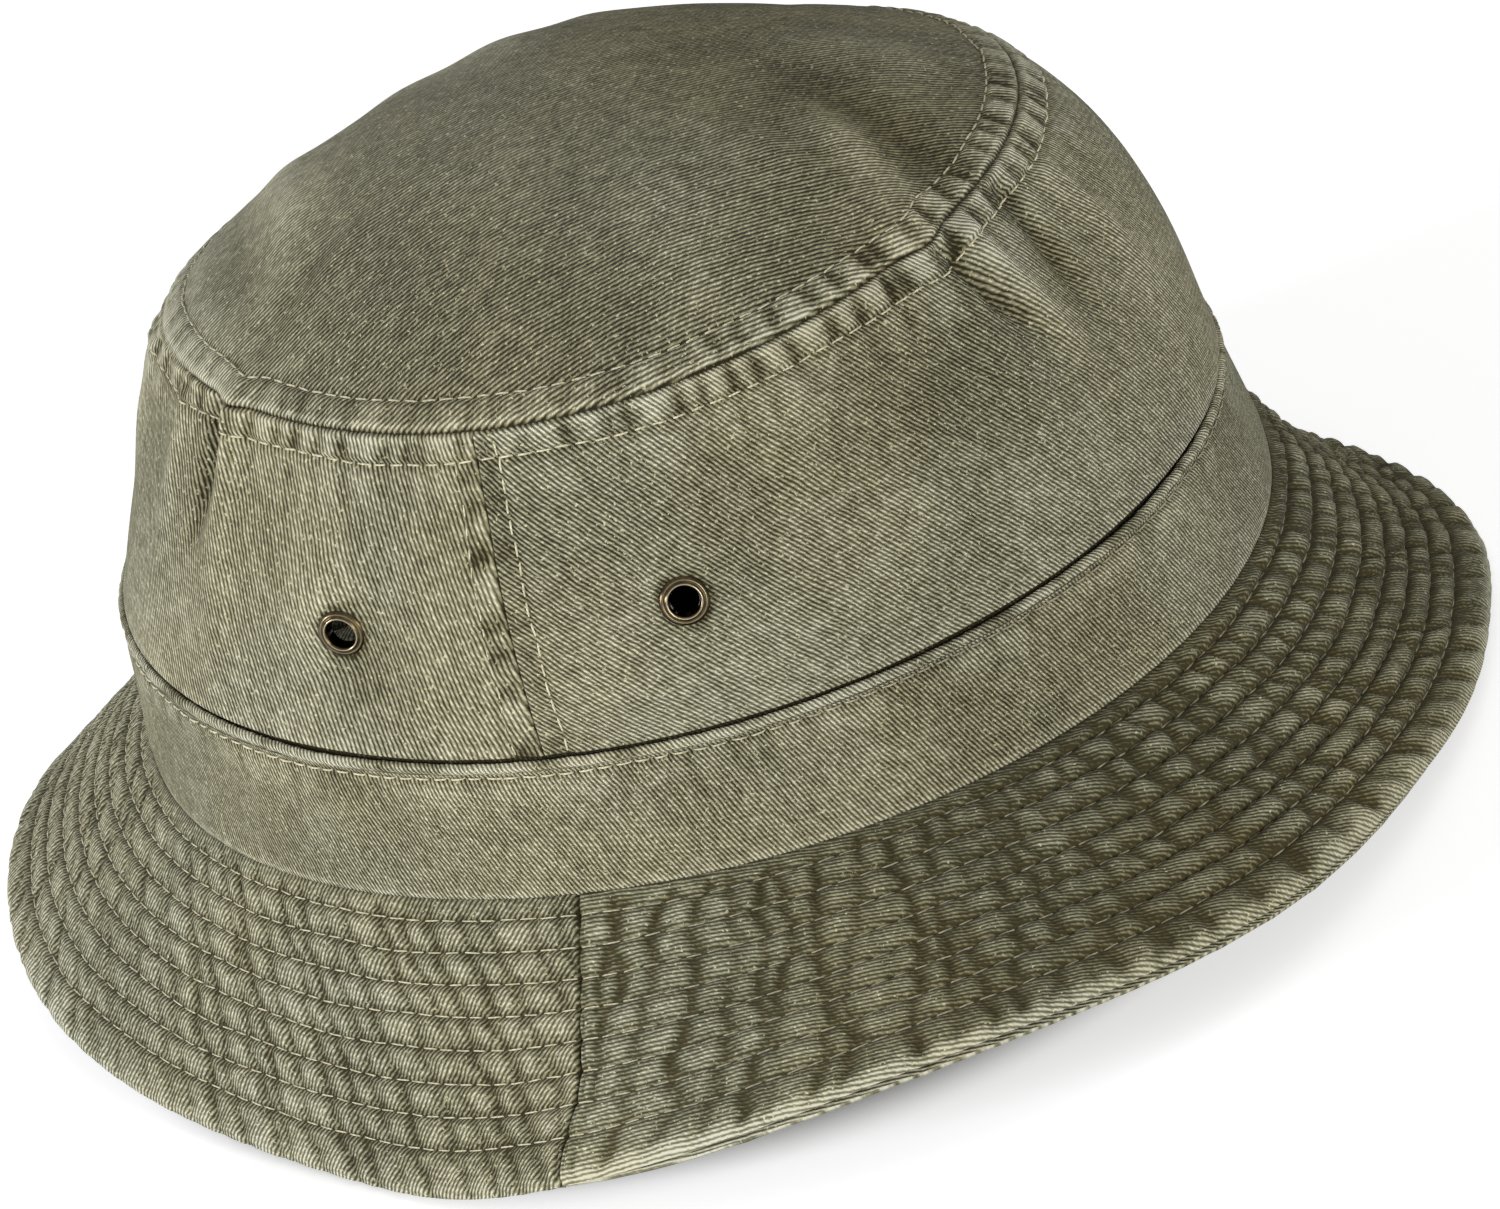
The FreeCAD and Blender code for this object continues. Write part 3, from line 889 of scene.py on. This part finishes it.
def brimDetail(theta, reach, distance):
    # how far the quilted cloth stands off, how faded it is with painted shade and highlight, and how far its
    # ribs are pushed aside
    look = brimLook
    first, pitch, length = look["firstRow"], look["rowPitch"], circle * look["ringRadius"]
    last = first + pitch * (look["rows"] - 1)
    phase = (reach - first) / pitch
    channel = np.floor(np.clip(phase, -1, look["rows"] - 1))
    within = np.clip(phase - channel, 0, 1)
    toRow = np.minimum(within, 1 - within)
    # stretches of the ring: the front half, its right part, and the rear half's left part
    front = between(theta, -91, 3, 60, 60)
    right = between(theta, -74, 45, 60, 60)
    pleated = front - right
    left = 1 - step(turnFrom(theta, 195), 0, 40)
    arch = np.abs(np.sin(np.pi * np.clip(phase, -0.5, look["rows"] - 0.5))) ** (0.55 - 0.10 * right)
    arch = np.where(reach > last, 1 - np.exp(-(reach - last) / 1.3), arch)
    ends = step(reach, 0.3, 2.5) * (1 - (0.35 + 0.40 * front) * step(reach, last + 4.5, last + 7.0))
    # valleys lean as they run out across the rows on one side, and break at each row on the other
    lean = look["lean"] * (1 - right) * (within - 0.5) * (1 - bump(toRow, 0.12))
    drift = 0.0045 * (1 - front) + 0.0065 * between(theta, -60, 75, 60, 60)
    around = (theta - drift * reach) % circle * look["ringRadius"] - lean
    line = channel + 1 + 0.5 * step(within, 0.25, 0.75)
    runOn = creases(around, line, 112, length, 31, 1.2, 0.50, 0.85, 1.7)
    broken = creases(around, line, 122, length, 32, 1.6, 0.25, 0.85, 1.25)
    dent = creases(around + 0.06 * reach, reach * 0.07 + 1, 68, length, 37, 1.6, 0.4, 1.7, 2.3) * right
    pleat = creases(around + 0.24 * reach, reach * 0.13 + 1, 124, length, 38, 2.0, 0.30, 0.95, 1.5) * pleated
    valley = (1.15 * runOn * (1 - left) + 1.25 * broken * left) * (1 - front)
    valley = np.minimum(valley + 1.1 * broken * right + 1.2 * pleat, 1.1)
    pillow = arch * (1 - 0.85 * np.minimum(valley, 1))
    fine = ringNoise(theta + channel * 0.21, 300, channel * 2.3 + phase, 33)
    broad = puffs(theta, 60, reach * 0.05, 35) * right
    slow = ringNoise(theta, 17, reach * 0.03, 34)
    rows = bump(toRow * pitch, 0.5) * step(reach, 2, 3) * (1 - step(reach, last + 1, last + 2))

    puff, deep, groove = (look[k][0] + look[k][1] * right for k in ("puff", "valley", "groove"))
    off = puff * pillow - deep * valley * (0.3 + 0.7 * arch) + 0.08 * fine * arch + 0.2 * broad - 0.4 * dent
    off = off * ends - groove * rows - 0.5 * bump(distance, 0.3) + 0.2 * bump(distance - 1.6, 1.2)
    off = off + 0.6 * slow * step(reach, 4, 20)

    # puff tops lighter and valleys darker: partly wash wear, partly painted shade and highlight
    relief = (0.30 + 0.20 * right - 0.04 * pleated) * (pillow - 0.5) - (0.12 + 0.16 * pleated) * valley
    # darker on the front and right of the brim: partly less faded dye, partly painted shade away from the
    # light
    wearAndShading = 0.45 - 0.16 * brimDark(theta) - 0.03 * right - 0.03 * bump(turnFrom(theta, 10), 32)
    # the puffs' colour from above, and darker in the dents: painted shade
    wearAndShading = wearAndShading + ends * (relief + 0.05 * broad - 0.17 * dent)
    # darker along the stitched rows and the seam: painted shade in their grooves
    wearAndShading = wearAndShading - (0.08 - 0.07 * front + 0.10 * right) * rows - 0.3 * bump(distance, 0.3)
    wearAndShading = wearAndShading + (0.12 + 0.26 * front) * step(reach, look["width"] - 3.5, look["width"] - 0.3)
    wearAndShading = np.maximum(wearAndShading, 0.10 + 0.35 * wearAndShading)

    shift = 0.20 * np.sin(circle * np.clip(phase, -0.5, look["rows"] - 0.5))
    return off, wearAndShading, shift


def brimSurface(side, theta, reach, depth=0.0):
    start, end = panelSpans[side][:2]
    distance = np.minimum(theta - start, end - theta) * (95 + reach * 0.68)
    off, wearAndShading, shift = brimDetail(theta, reach, distance)
    normal = -normalAt(brimShape, theta, reach)
    base = brimShape(theta, reach + rowWander(theta, reach), depth)
    return base + normal * off[..., None], normal, wearAndShading, shift


def buildBrimLayer(name, side, node, finish, grid, depth=0.0, thickness=hatShape["cloth"], short=0.0,
                   edgeRoll=0.0, longer=0.0):
    start, end = panelSpans[side][:2]
    width = brimLook["width"] - short
    # rows of the mesh crowd towards each stitched row
    share = np.array([0.0, 0.07, 0.16, 0.30, 0.5, 0.70, 0.84, 0.93]) if grid < 1 else np.arange(0, 1, 0.2)
    reach = brimLook["firstRow"] + brimLook["rowPitch"] * (np.arange(-1, 9)[:, None] + share).ravel()
    reach = reach[(reach > 0.2) & (reach < width - 1.5)]
    reach = np.concatenate([[0.0], reach, width - np.array([1.3, 0.9, 0.6, 0.35, 0.15, 0.0])])
    theta, reach = np.meshgrid(seamEdges(start, end, grid, brimLook["meanRadius"]), reach)
    # one layer may stand out a little beyond the other, as it does on the right
    peek = longer * between(theta, -92, 12, -35, 30) * step(reach, width - 8, width)
    points, normal, wearAndShading, shift = brimSurface(side, theta, reach + peek, depth)
    points = points - normal * (edgeRoll * step(reach, width - 1.5, width + 0.6))[..., None]
    lean, curve = brimLook["twill"][side]
    flatRadius = brimLook["seamRadius"] / curve + reach
    turn = (theta - (start + end) / 2) * curve
    x, y = flatRadius * np.sin(turn) + shift * np.cos(turn), flatRadius * np.cos(turn) - shift * np.sin(turn)
    uv = turned(x, y, lean)
    piece = sheetMesh(name + side, points[::-1], uv[::-1], wearAndShading[::-1], thickness=thickness)
    dress(piece, finish, node + side.lower())


underDepth = behind + brimLook["stiffener"] + 2 * hatShape["ease"]
upperGrid, stiffenerGrid, underGrid = brimLook["grids"]
for side in panelSpans:
    cloth = "brimFront" if side == "Front" else "brimTwill"
    buildBrimLayer("brimUpper", side, "brim_upper_", cloth, upperGrid, edgeRoll=0.9)
    buildBrimLayer("brimStiffener", side, "brim_interlining_", "interlining", stiffenerGrid,
                   depth=behind, thickness=brimLook["stiffener"], short=brimLook["turning"])
    buildBrimLayer("brimUnder", side, "brim_lower_", cloth, underGrid,
                   depth=underDepth, edgeRoll=-0.35, short=0.5, longer=0.9)
print("brim done")


# hat band
bandLook = {
    "twill": -26.0,
    "rollTwill": -32.0,         # the edge is turned, so its ribs run nearly square to it
    "roll": 0.80,               # radius of the rolled upper edge
    "stitch": 0.75,             # topstitching below the rolled edge
    "ripples": 92,              # lumps under the rolled edge
    "columns": 800,
    "flat": (0.60, 0.050),
}


def bandOff(theta, height):
    # how far the face stands off its plain shape, and how faded it is, with painted shade in that colour
    neck = bandHeight - 2 * bandLook["roll"]
    fromSeam = height - neck + bandLook["stitch"]
    slow = 0.55 * ringNoise(theta, 19, height * 0.05, 41) + 0.28 * ringNoise(theta, 60, height * 0.08, 42)
    ripple = puffs(theta, bandLook["ripples"], height * 0.05, 43) * bump(height - (neck - 2.6), 2.4)
    off = slow * step(height, 0, 5) * (1 - step(height, neck - 4, neck)) + 0.16 * ripple
    off = off - 0.3 * bump(fromSeam, 0.45) - 0.2 * bump(height, 0.5)
    wearAndShading = 0.49 + 0.05 * slow + 0.08 * ripple + 0.14 * bump(height - 0.5, 0.5)
    # darker along the topstitching: painted shade in its groove
    wearAndShading = wearAndShading + 0.06 * bump(height - neck, 0.7) - 0.12 * bump(fromSeam, 0.5)
    return off, wearAndShading


def buildBand():
    # profile: up the face, over the rolled edge, and down the inside
    roll, ripples = bandLook["roll"], bandLook["ripples"]
    neck = bandHeight - 2 * roll
    face = [(h, 0.0) for h in np.concatenate([[-0.2, 0.1, 0.5, 1.0], np.arange(2, neck - 1.5, 1.0),
                                              np.linspace(neck - 1.3, neck, 9)])]
    turns = np.radians(np.linspace(-62, 150, 13))
    edge = [(bandHeight - roll + roll * math.sin(a), roll * 0.62 - roll * math.cos(a)) for a in turns]
    inner = [(h, hatShape["bandThickness"]) for h in np.linspace(neck, -0.2, 8)]
    profile = np.array(face + edge + inner + face[:1])
    faces, edges = len(face), len(face) + len(edge)
    theta, row = np.meshgrid(np.linspace(math.pi, math.pi + circle, bandLook["columns"] + 1),
                             np.arange(len(profile)))
    height, depth = profile[row, 0], profile[row, 1]
    off, wearAndShading = bandOff(theta, height)
    onRoll = (row >= faces) & (row < edges)
    cord = 0.13 * puffs(theta, 330, 0 * height, 44) + 0.22 * ringNoise(theta, 44, 0 * height, 45)
    off = np.where(onRoll, cord, np.where(row < faces, off, 0))
    join = np.abs(turnFrom(theta, 180)) * math.pi / 180 * bandRadius
    off = off - 0.7 * bump(join, 0.8) * (row < edges)
    out = outward(hatShape["bandTop"], theta)
    points = bandShape(theta, height) + out * (off - depth)[..., None]
    points[:, -1] = points[:, 0]
    length = np.concatenate([[0], np.cumsum(np.hypot(*np.diff(profile, axis=0).T))])
    onFace, onEdge = (turned(theta * bandRadius, length[row], bandLook[k]) for k in ("twill", "rollTwill"))
    uv = np.where(onRoll[..., None], onEdge, onFace)
    wearAndShading = np.where(onRoll, 0.57 + 0.14 * puffs(theta, ripples, 0 * height, 43), wearAndShading)
    piece = sheetMesh("hatBand", points, uv, wearAndShading, closed=True)
    inEdit(piece, bpy.ops.mesh.normals_make_consistent, inside=False)
    dress(piece, "twill", "hat_band")


buildBand()
print("hat band done")


# sweatband and seam tapes inside the crown
insideLook = {
    "grid": 1.6,
    "sweatbandHeight": 30.0,
    "sweatbandCloth": 1.2,
    "tapeWidth": 12.0,
    "tapeCloth": 0.5,
    "tapeBelowTip": 1.6,
}


def buildInside(name, node, finish, spread, low, high, thickness, depth, closed=False, slow=True):
    # a strip that follows the side panels at this depth behind them
    grid = insideLook["grid"]
    around = np.linspace(*spread, int((spread[1] - spread[0]) * wallRadius / grid))
    theta, height = np.meshgrid(around, np.linspace(low, high, max(4, int((high - low) / grid))))
    normal = normalAt(panelShape, theta, height)
    off = panelSlow(theta, height) if slow else 0 * theta
    edge = np.minimum(height - low, high - height)
    ripple = 0.10 * ringNoise(theta, 120, height * 0.1, 51)
    points = panelShape(theta, height) + normal * (off - depth - 0.15 + ripple)[..., None]
    if closed:
        points[:, -1] = points[:, 0]
    uv = turned(theta * wallRadius, height, 40)
    wearAndShading = 0.45 + 0.2 * ripple - 0.2 * bump(edge - 1.5, 0.6)
    piece = sheetMesh(name, points, uv, wearAndShading, closed=closed, thickness=thickness)
    dress(piece, finish, node)


allRound = (math.pi, math.pi + circle)
tapeTop = tipHeight - insideLook["tapeBelowTip"]
tapeFoot = tapeTop - insideLook["tapeWidth"]
halfTape = insideLook["tapeWidth"] / 2 / wallRadius
buildInside("innerSweatband", "sweatband", "twill", allRound, 0.6, insideLook["sweatbandHeight"],
            insideLook["sweatbandCloth"], behind + 2.0, closed=True, slow=False)
buildInside("tipSeamTape", "tip_seam_tape", "tape", allRound, tapeFoot, tapeTop,
            insideLook["tapeCloth"], behind, closed=True)
for name, seam in (("Right", rightSeam), ("Left", leftSeam)):
    buildInside("sideSeamTape" + name, "side_seam_tape_" + name.lower(), "tape",
                (seam - halfTape, seam + halfTape), insideLook["sweatbandHeight"] + 0.4, tapeFoot - 0.4,
                insideLook["tapeCloth"], behind)
print("sweatband and tapes done")


# eyelets and their washers, turned about their own axes
eyeletProfile = (
    (2.35, -1.75), (2.35, -0.20), (2.38, 0.16), (2.46, 0.42), (2.58, 0.60), (2.70, 0.69), (2.78, 0.71),
    (2.86, 0.69), (2.98, 0.58), (3.12, 0.44), (3.26, 0.40), (3.38, 0.43), (3.46, 0.45), (3.54, 0.42),
    (3.68, 0.33), (3.84, 0.21), (3.96, 0.08), (3.99, 0.00), (3.90, -0.06),
    (2.80, -0.02), (2.72, -0.20), (2.72, -1.20), (2.90, -1.42), (3.20, -1.44), (3.48, -1.52), (3.54, -1.66),
    (3.44, -1.80), (2.90, -1.84),
)
washerProfile = (
    (2.85, -1.06), (2.95, -0.96), (4.16, -0.96), (4.28, -1.06), (4.28, -1.24), (4.16, -1.36), (2.95, -1.36),
    (2.85, -1.26),
)


def turnProfile(name, profile):
    bpy.ops.object.select_all(action="DESELECT")
    bpy.ops.mesh.primitive_circle_add(vertices=56, radius=profile[0][0] * mm,
                                      location=(0, 0, profile[0][1] * mm), fill_type="NOTHING")
    piece = bpy.context.active_object
    piece.name = name
    bpy.ops.object.transform_apply(location=True)
    editAll(piece)
    for (r0, h0), (r1, h1) in zip(profile, profile[1:] + profile[:1]):
        bpy.ops.mesh.extrude_edges_move(TRANSFORM_OT_translate={"value": (0, 0, (h1 - h0) * mm)})
        bpy.ops.transform.resize(value=(r1 / r0, r1 / r0, 1), center_override=(0, 0, 0))
    bpy.ops.mesh.select_all(action="SELECT")
    bpy.ops.mesh.remove_doubles(threshold=0.000005)
    bpy.ops.mesh.normals_make_consistent(inside=False)
    bpy.ops.object.mode_set(mode="OBJECT")
    bpy.ops.object.shade_smooth()
    # the two rings on the flange are painted bright: partly rubbed brass, partly painted highlight
    x, y, z = np.array([vertex.co for vertex in piece.data.vertices]).T / mm
    (inner, most), (outer, less) = eyeletLook["rubbedAndGlinting"]
    rings = np.maximum(most * bump(np.hypot(x, y) - inner, 0.07), less * bump(np.hypot(x, y) - outer, 0.07))
    paint(piece.data, "rubAndGlint", rings * (z > 0.3))
    return piece


def seat(piece, point, normal):
    place = Matrix.Translation(Vector(toFrame(point))) \
        @ Vector(hatTurn @ normal).to_track_quat("Z", "Y").to_matrix().to_4x4()
    piece.data.transform(place)


models = {"eyelet": turnProfile("eyeletModel", eyeletProfile),
          "washer": turnProfile("washerModel", washerProfile)}
for name in eyeletLook["places"]:
    point, normal = eyeletSeat(name)
    side = "right" if name.startswith("right") else "left"
    end = "front" if name.endswith("Front") else "rear"
    for kind, model in models.items():
        piece = model.copy()
        piece.data = model.data.copy()
        piece.name = kind + name[0].upper() + name[1:]
        bpy.context.scene.collection.objects.link(piece)
        seat(piece, point, normal)
        dress(piece, "brass", kind + "_" + side + "_" + end)
for model in models.values():
    bpy.data.objects.remove(model)
print("eyelets done")


# stitching
stitchLook = {
    # length, gap, radius
    "crown": (2.5, 0.6, 0.17),
    "brim": (3.0, 0.5, 0.135),
    # rings of each stitch: where along it, lift and size in radii, and how its ends swing apart sideways
    "along": (0, 0.13, 0.5, 0.87, 1.0),
    "lift": (-1.3, 0.5, 0.95, 0.5, -1.3),
    "size": (0.6, 0.95, 1.05, 0.95, 0.6),
    "swing": (-1, -0.6, 0, 0.6, 1),
    "sides": 6,
}


def stitchesAlong(path, normals, wearAndShading, seed, kind="crown"):
    # small tubes that dip into the cloth at both ends, laid along a path in the hat's frame
    length, gap, radius = stitchLook[kind]
    shares, lift, swing, size = (np.array(stitchLook[k]) for k in ("along", "lift", "swing", "size"))
    travel = np.concatenate([[0], np.cumsum(np.linalg.norm(np.diff(path, axis=0), axis=1))])
    count = max(1, int(travel[-1] / (length + gap)))
    rng = np.random.default_rng(seed)
    pitch = travel[-1] / count
    start = np.arange(count) * pitch + rng.uniform(0, 0.25, count)
    long = pitch - gap + rng.uniform(-0.25, 0.25, count)
    along = start[:, None] + long[:, None] * shares
    at = np.stack([np.interp(along, travel, path[:, i]) for i in range(3)], -1)
    up = np.stack([np.interp(along, travel, normals[:, i]) for i in range(3)], -1)
    ahead = np.gradient(at, axis=1)
    ahead /= np.linalg.norm(ahead, axis=-1, keepdims=True)
    side = np.cross(ahead, up)
    side /= np.linalg.norm(side, axis=-1, keepdims=True)
    up = np.cross(side, ahead)
    drift = rng.uniform(-0.12, 0.12, (count, 1, 1)) * swing[:, None]
    at = at + up * (radius * lift)[:, None] + side * drift
    corner = np.arange(stitchLook["sides"]) * circle / stitchLook["sides"]
    ring = side[:, :, None] * np.cos(corner)[:, None] + up[:, :, None] * np.sin(corner)[:, None]
    vertices = (at[:, :, None] + ring * (radius * size)[:, None, None]).reshape(count, -1, 3)
    fade = np.interp(along[:, 2], travel, wearAndShading)[:, None, None] + 0 * vertices[..., :1]
    return np.concatenate([vertices, fade], -1)


def stitchFaces(count):
    # the tube's sides, ring by ring, and its two ends
    sides, rings = stitchLook["sides"], len(stitchLook["along"])
    whole = sides * rings
    faces = []
    for k in range(rings - 1):
        for c in range(sides):
            d = (c + 1) % sides
            faces.append((k * sides + c, k * sides + d, k * sides + sides + d, k * sides + sides + c))
    quads = (np.array(faces)[None] + whole * np.arange(count)[:, None, None]).reshape(-1, 4).tolist()
    for i in range(count):
        quads.append([whole * i + c for c in range(sides - 1, -1, -1)])
        quads.append([whole * (i + 1) - sides + c for c in range(sides)])
    return quads


def buildStitches(name, rows):
    vertices = np.concatenate(rows)
    piece = addMesh(name, toFrame(vertices[..., :3].reshape(-1, 3)), stitchFaces(len(vertices)))
    paint(piece.data, "fade", vertices[..., 3])
    inEdit(piece, bpy.ops.mesh.normals_make_consistent, inside=False)
    bpy.ops.object.shade_smooth()
    dress(piece, "thread")


def wander(theta, size, seed):
    return size * (ringNoise(theta, 40, 0 * theta, seed) + 0.5 * ringNoise(theta, 90, 0 * theta, seed + 1))


def crownStitches():
    wallRows = []
    for i, (side, (start, end, raised)) in enumerate(panelSpans.items()):
        theta = np.linspace(start + 0.004, end - 0.004, 1600)
        height = tipHeight - panelLook["tipStrip"] + wander(theta, 0.25, 61)
        point, normal = panelSurface(side, theta, height)[:2]
        wallRows.append(stitchesAlong(point, normal, 0.5 + 0 * theta, 101 + i))
        strip = panelLook["rearStrip" if raised else "frontStrip"]
        for seam, sign in ((start, 1), (end, -1)):
            height = np.linspace(bandHeight + panelLook["seamLine"], tipHeight - 1.2, 400)
            theta = seam + sign * (strip + 0.15 * np.sin(height * 0.5)) / wallRadius
            point, normal = panelSurface(side, theta, height)[:2]
            wallRows.append(stitchesAlong(point, normal, 0.5 + 0 * theta, 111 + 2 * i + sign))
    buildStitches("stitchingWall", wallRows)
    theta = np.linspace(0, circle, 2400)
    point, normal = tipSurface(theta, tipLook["strip"] + wander(theta, 0.22, 63))[:2]
    buildStitches("stitchingTip", [stitchesAlong(point, normal, 0.4 + 0 * theta, 121)])
    height = bandHeight - 2 * bandLook["roll"] - bandLook["stitch"] + wander(theta, 0.12, 65)
    out = outward(hatShape["bandTop"], theta)
    path = bandShape(theta, height) + out * (bandOff(theta, height)[0] + 0.08)[..., None]
    # the band's thread is darker at the front: partly less faded dye, partly painted shade
    buildStitches("stitchingBand", [stitchesAlong(path, out, 0.5 - 0.25 * brimDark(theta), 131)])


def brimStitches(name, depth, flip):
    rows = []
    for i in range(brimLook["rows"]):
        for j, (side, (start, end, _)) in enumerate(panelSpans.items()):
            theta = np.linspace(start + 0.002, end - 0.002, 2200)
            reach = brimLook["firstRow"] + brimLook["rowPitch"] * i + 0 * theta
            point, normal = brimSurface(side, theta, reach, depth)[:2]
            # thread on the front brim is darker: painted shade on thread sunk in its grooves
            pale = 0.46 - 0.20 * between(theta, -93, 14, 70, 60)
            rows.append(stitchesAlong(point, normal * flip, pale, 141 + 2 * i + j, "brim"))
    buildStitches(name, rows)


crownStitches()
brimStitches("stitchingBrimUpper", 0.0, 1)
brimStitches("stitchingBrimUnder", underDepth + hatShape["cloth"], -1)
print("stitching done")


# floor, light, camera
viewLook = {
    "azimuth": 20.9,
    "elevation": 27.5,
    "roll": -17.6,
    "distance": 1067.0,
    "target": (5.9, 2.0, -6.4),
    "lens": 151.2,
}


def buildCamera():
    a, e, roll = (math.radians(viewLook[k]) for k in ("azimuth", "elevation", "roll"))
    back = np.array([math.sin(a) * math.cos(e), -math.cos(a) * math.cos(e), math.sin(e)])
    right = np.array([math.cos(a), math.sin(a), 0])
    up = np.cross(back, right)
    right, up = math.cos(roll) * right + math.sin(roll) * up, math.cos(roll) * up - math.sin(roll) * right
    place = toFrame(np.array(viewLook["target"]) + back * viewLook["distance"])
    data = bpy.data.cameras.new("camera")
    data.lens = viewLook["lens"]
    data.sensor_width = 36
    camera = bpy.data.objects.new("camera", data)
    bpy.context.scene.collection.objects.link(camera)
    axes = np.stack([hatTurn @ right, hatTurn @ up, hatTurn @ back, place], 1)
    camera.matrix_world = Matrix([*axes.tolist(), [0, 0, 0, 1]])
    bpy.context.scene.camera = camera


lightLook = {
    # name: place in metres, size, watts, colour
    "key": ((-1.7, -1.2, 0.55), 0.6, 33.5, (0.985, 1.0, 1.05)),
    "fill": ((1.55, -1.75, 0.22), 1.3, 42.5, (1.0, 0.985, 0.965)),
    "over": ((0.1, 0.5, 2.2), 2.0, 5.0, (1.0, 1.0, 1.0)),
}


def buildLights():
    for name, (spot, size, watts, colour) in lightLook.items():
        lamp = bpy.data.lights.new(name, "AREA")
        lamp.shape = "DISK"
        lamp.size = size
        lamp.energy = watts
        lamp.color = colour
        holder = bpy.data.objects.new(name, lamp)
        bpy.context.scene.collection.objects.link(holder)
        holder.location = spot
        holder.rotation_euler = (Vector((0, 0, 0.06)) - Vector(spot)).to_track_quat("-Z", "Y").to_euler()


stageLook = {
    "sky": (0.70, 0.30),        # strength: how much more where it is seen, and what lights the hat
    "floor": 6.0,
    # the floor is dark inside the crown, its colour painted shade under the hat, and white outside: distances
    # in metres, then both values
    "colour": (0.095, 0.105, 0.03, 0.82),
    "glow": (0.098, 0.116, 0.0, 0.62),
}


def seenDirectly(tree):
    # 1 where a surface is looked at, straight or by a shine, and 0 where it lights others
    path = add(tree, "ShaderNodeLightPath").outputs
    return maths(tree, "MAXIMUM", path["Is Camera Ray"],
                 maths(tree, "MAXIMUM", path["Is Glossy Ray"], path["Is Transmission Ray"]))


def buildSurroundings():
    world = bpy.data.worlds.new("studio")
    bpy.context.scene.world = world
    world.use_nodes = True
    tree = world.node_tree
    tree.nodes.clear()
    sky = add(tree, "ShaderNodeBackground")
    sky.inputs["Color"].default_value = (1, 1, 1, 1)
    put(tree, sky.inputs["Strength"], maths(tree, "MULTIPLY_ADD", seenDirectly(tree), *stageLook["sky"]))
    put(tree, add(tree, "ShaderNodeOutputWorld").inputs["Surface"], sky.outputs[0])
    bpy.ops.object.select_all(action="DESELECT")
    bpy.ops.mesh.primitive_plane_add(size=stageLook["floor"], location=(0, 0, 0))
    floor = bpy.context.active_object
    floor.name = "floor"
    material = bpy.data.materials.new("floorWhite")
    tree = nodeTree(material)
    diffuse = add(tree, "ShaderNodeBsdfDiffuse")
    glow = add(tree, "ShaderNodeEmission")
    middle = add(tree, "ShaderNodeVectorMath", operation="LENGTH")
    put(tree, middle.inputs[0], add(tree, "ShaderNodeTexCoord").outputs["Object"])
    far = middle.outputs["Value"]
    # painted shade: the floor's colour is dark inside the crown
    put(tree, diffuse.inputs["Color"], remap(tree, far, *stageLook["colour"]))
    put(tree, glow.inputs["Strength"],
        maths(tree, "MULTIPLY", seenDirectly(tree), remap(tree, far, *stageLook["glow"])))
    both = add(tree, "ShaderNodeAddShader")
    put(tree, both.inputs[0], diffuse.outputs[0])
    put(tree, both.inputs[1], glow.outputs[0])
    put(tree, add(tree, "ShaderNodeOutputMaterial").inputs["Surface"], both.outputs[0])
    floor.data.materials.append(material)


buildCamera()
buildLights()
buildSurroundings()
bpy.context.scene.view_settings.view_transform = "Standard"
print("camera, light and floor done")
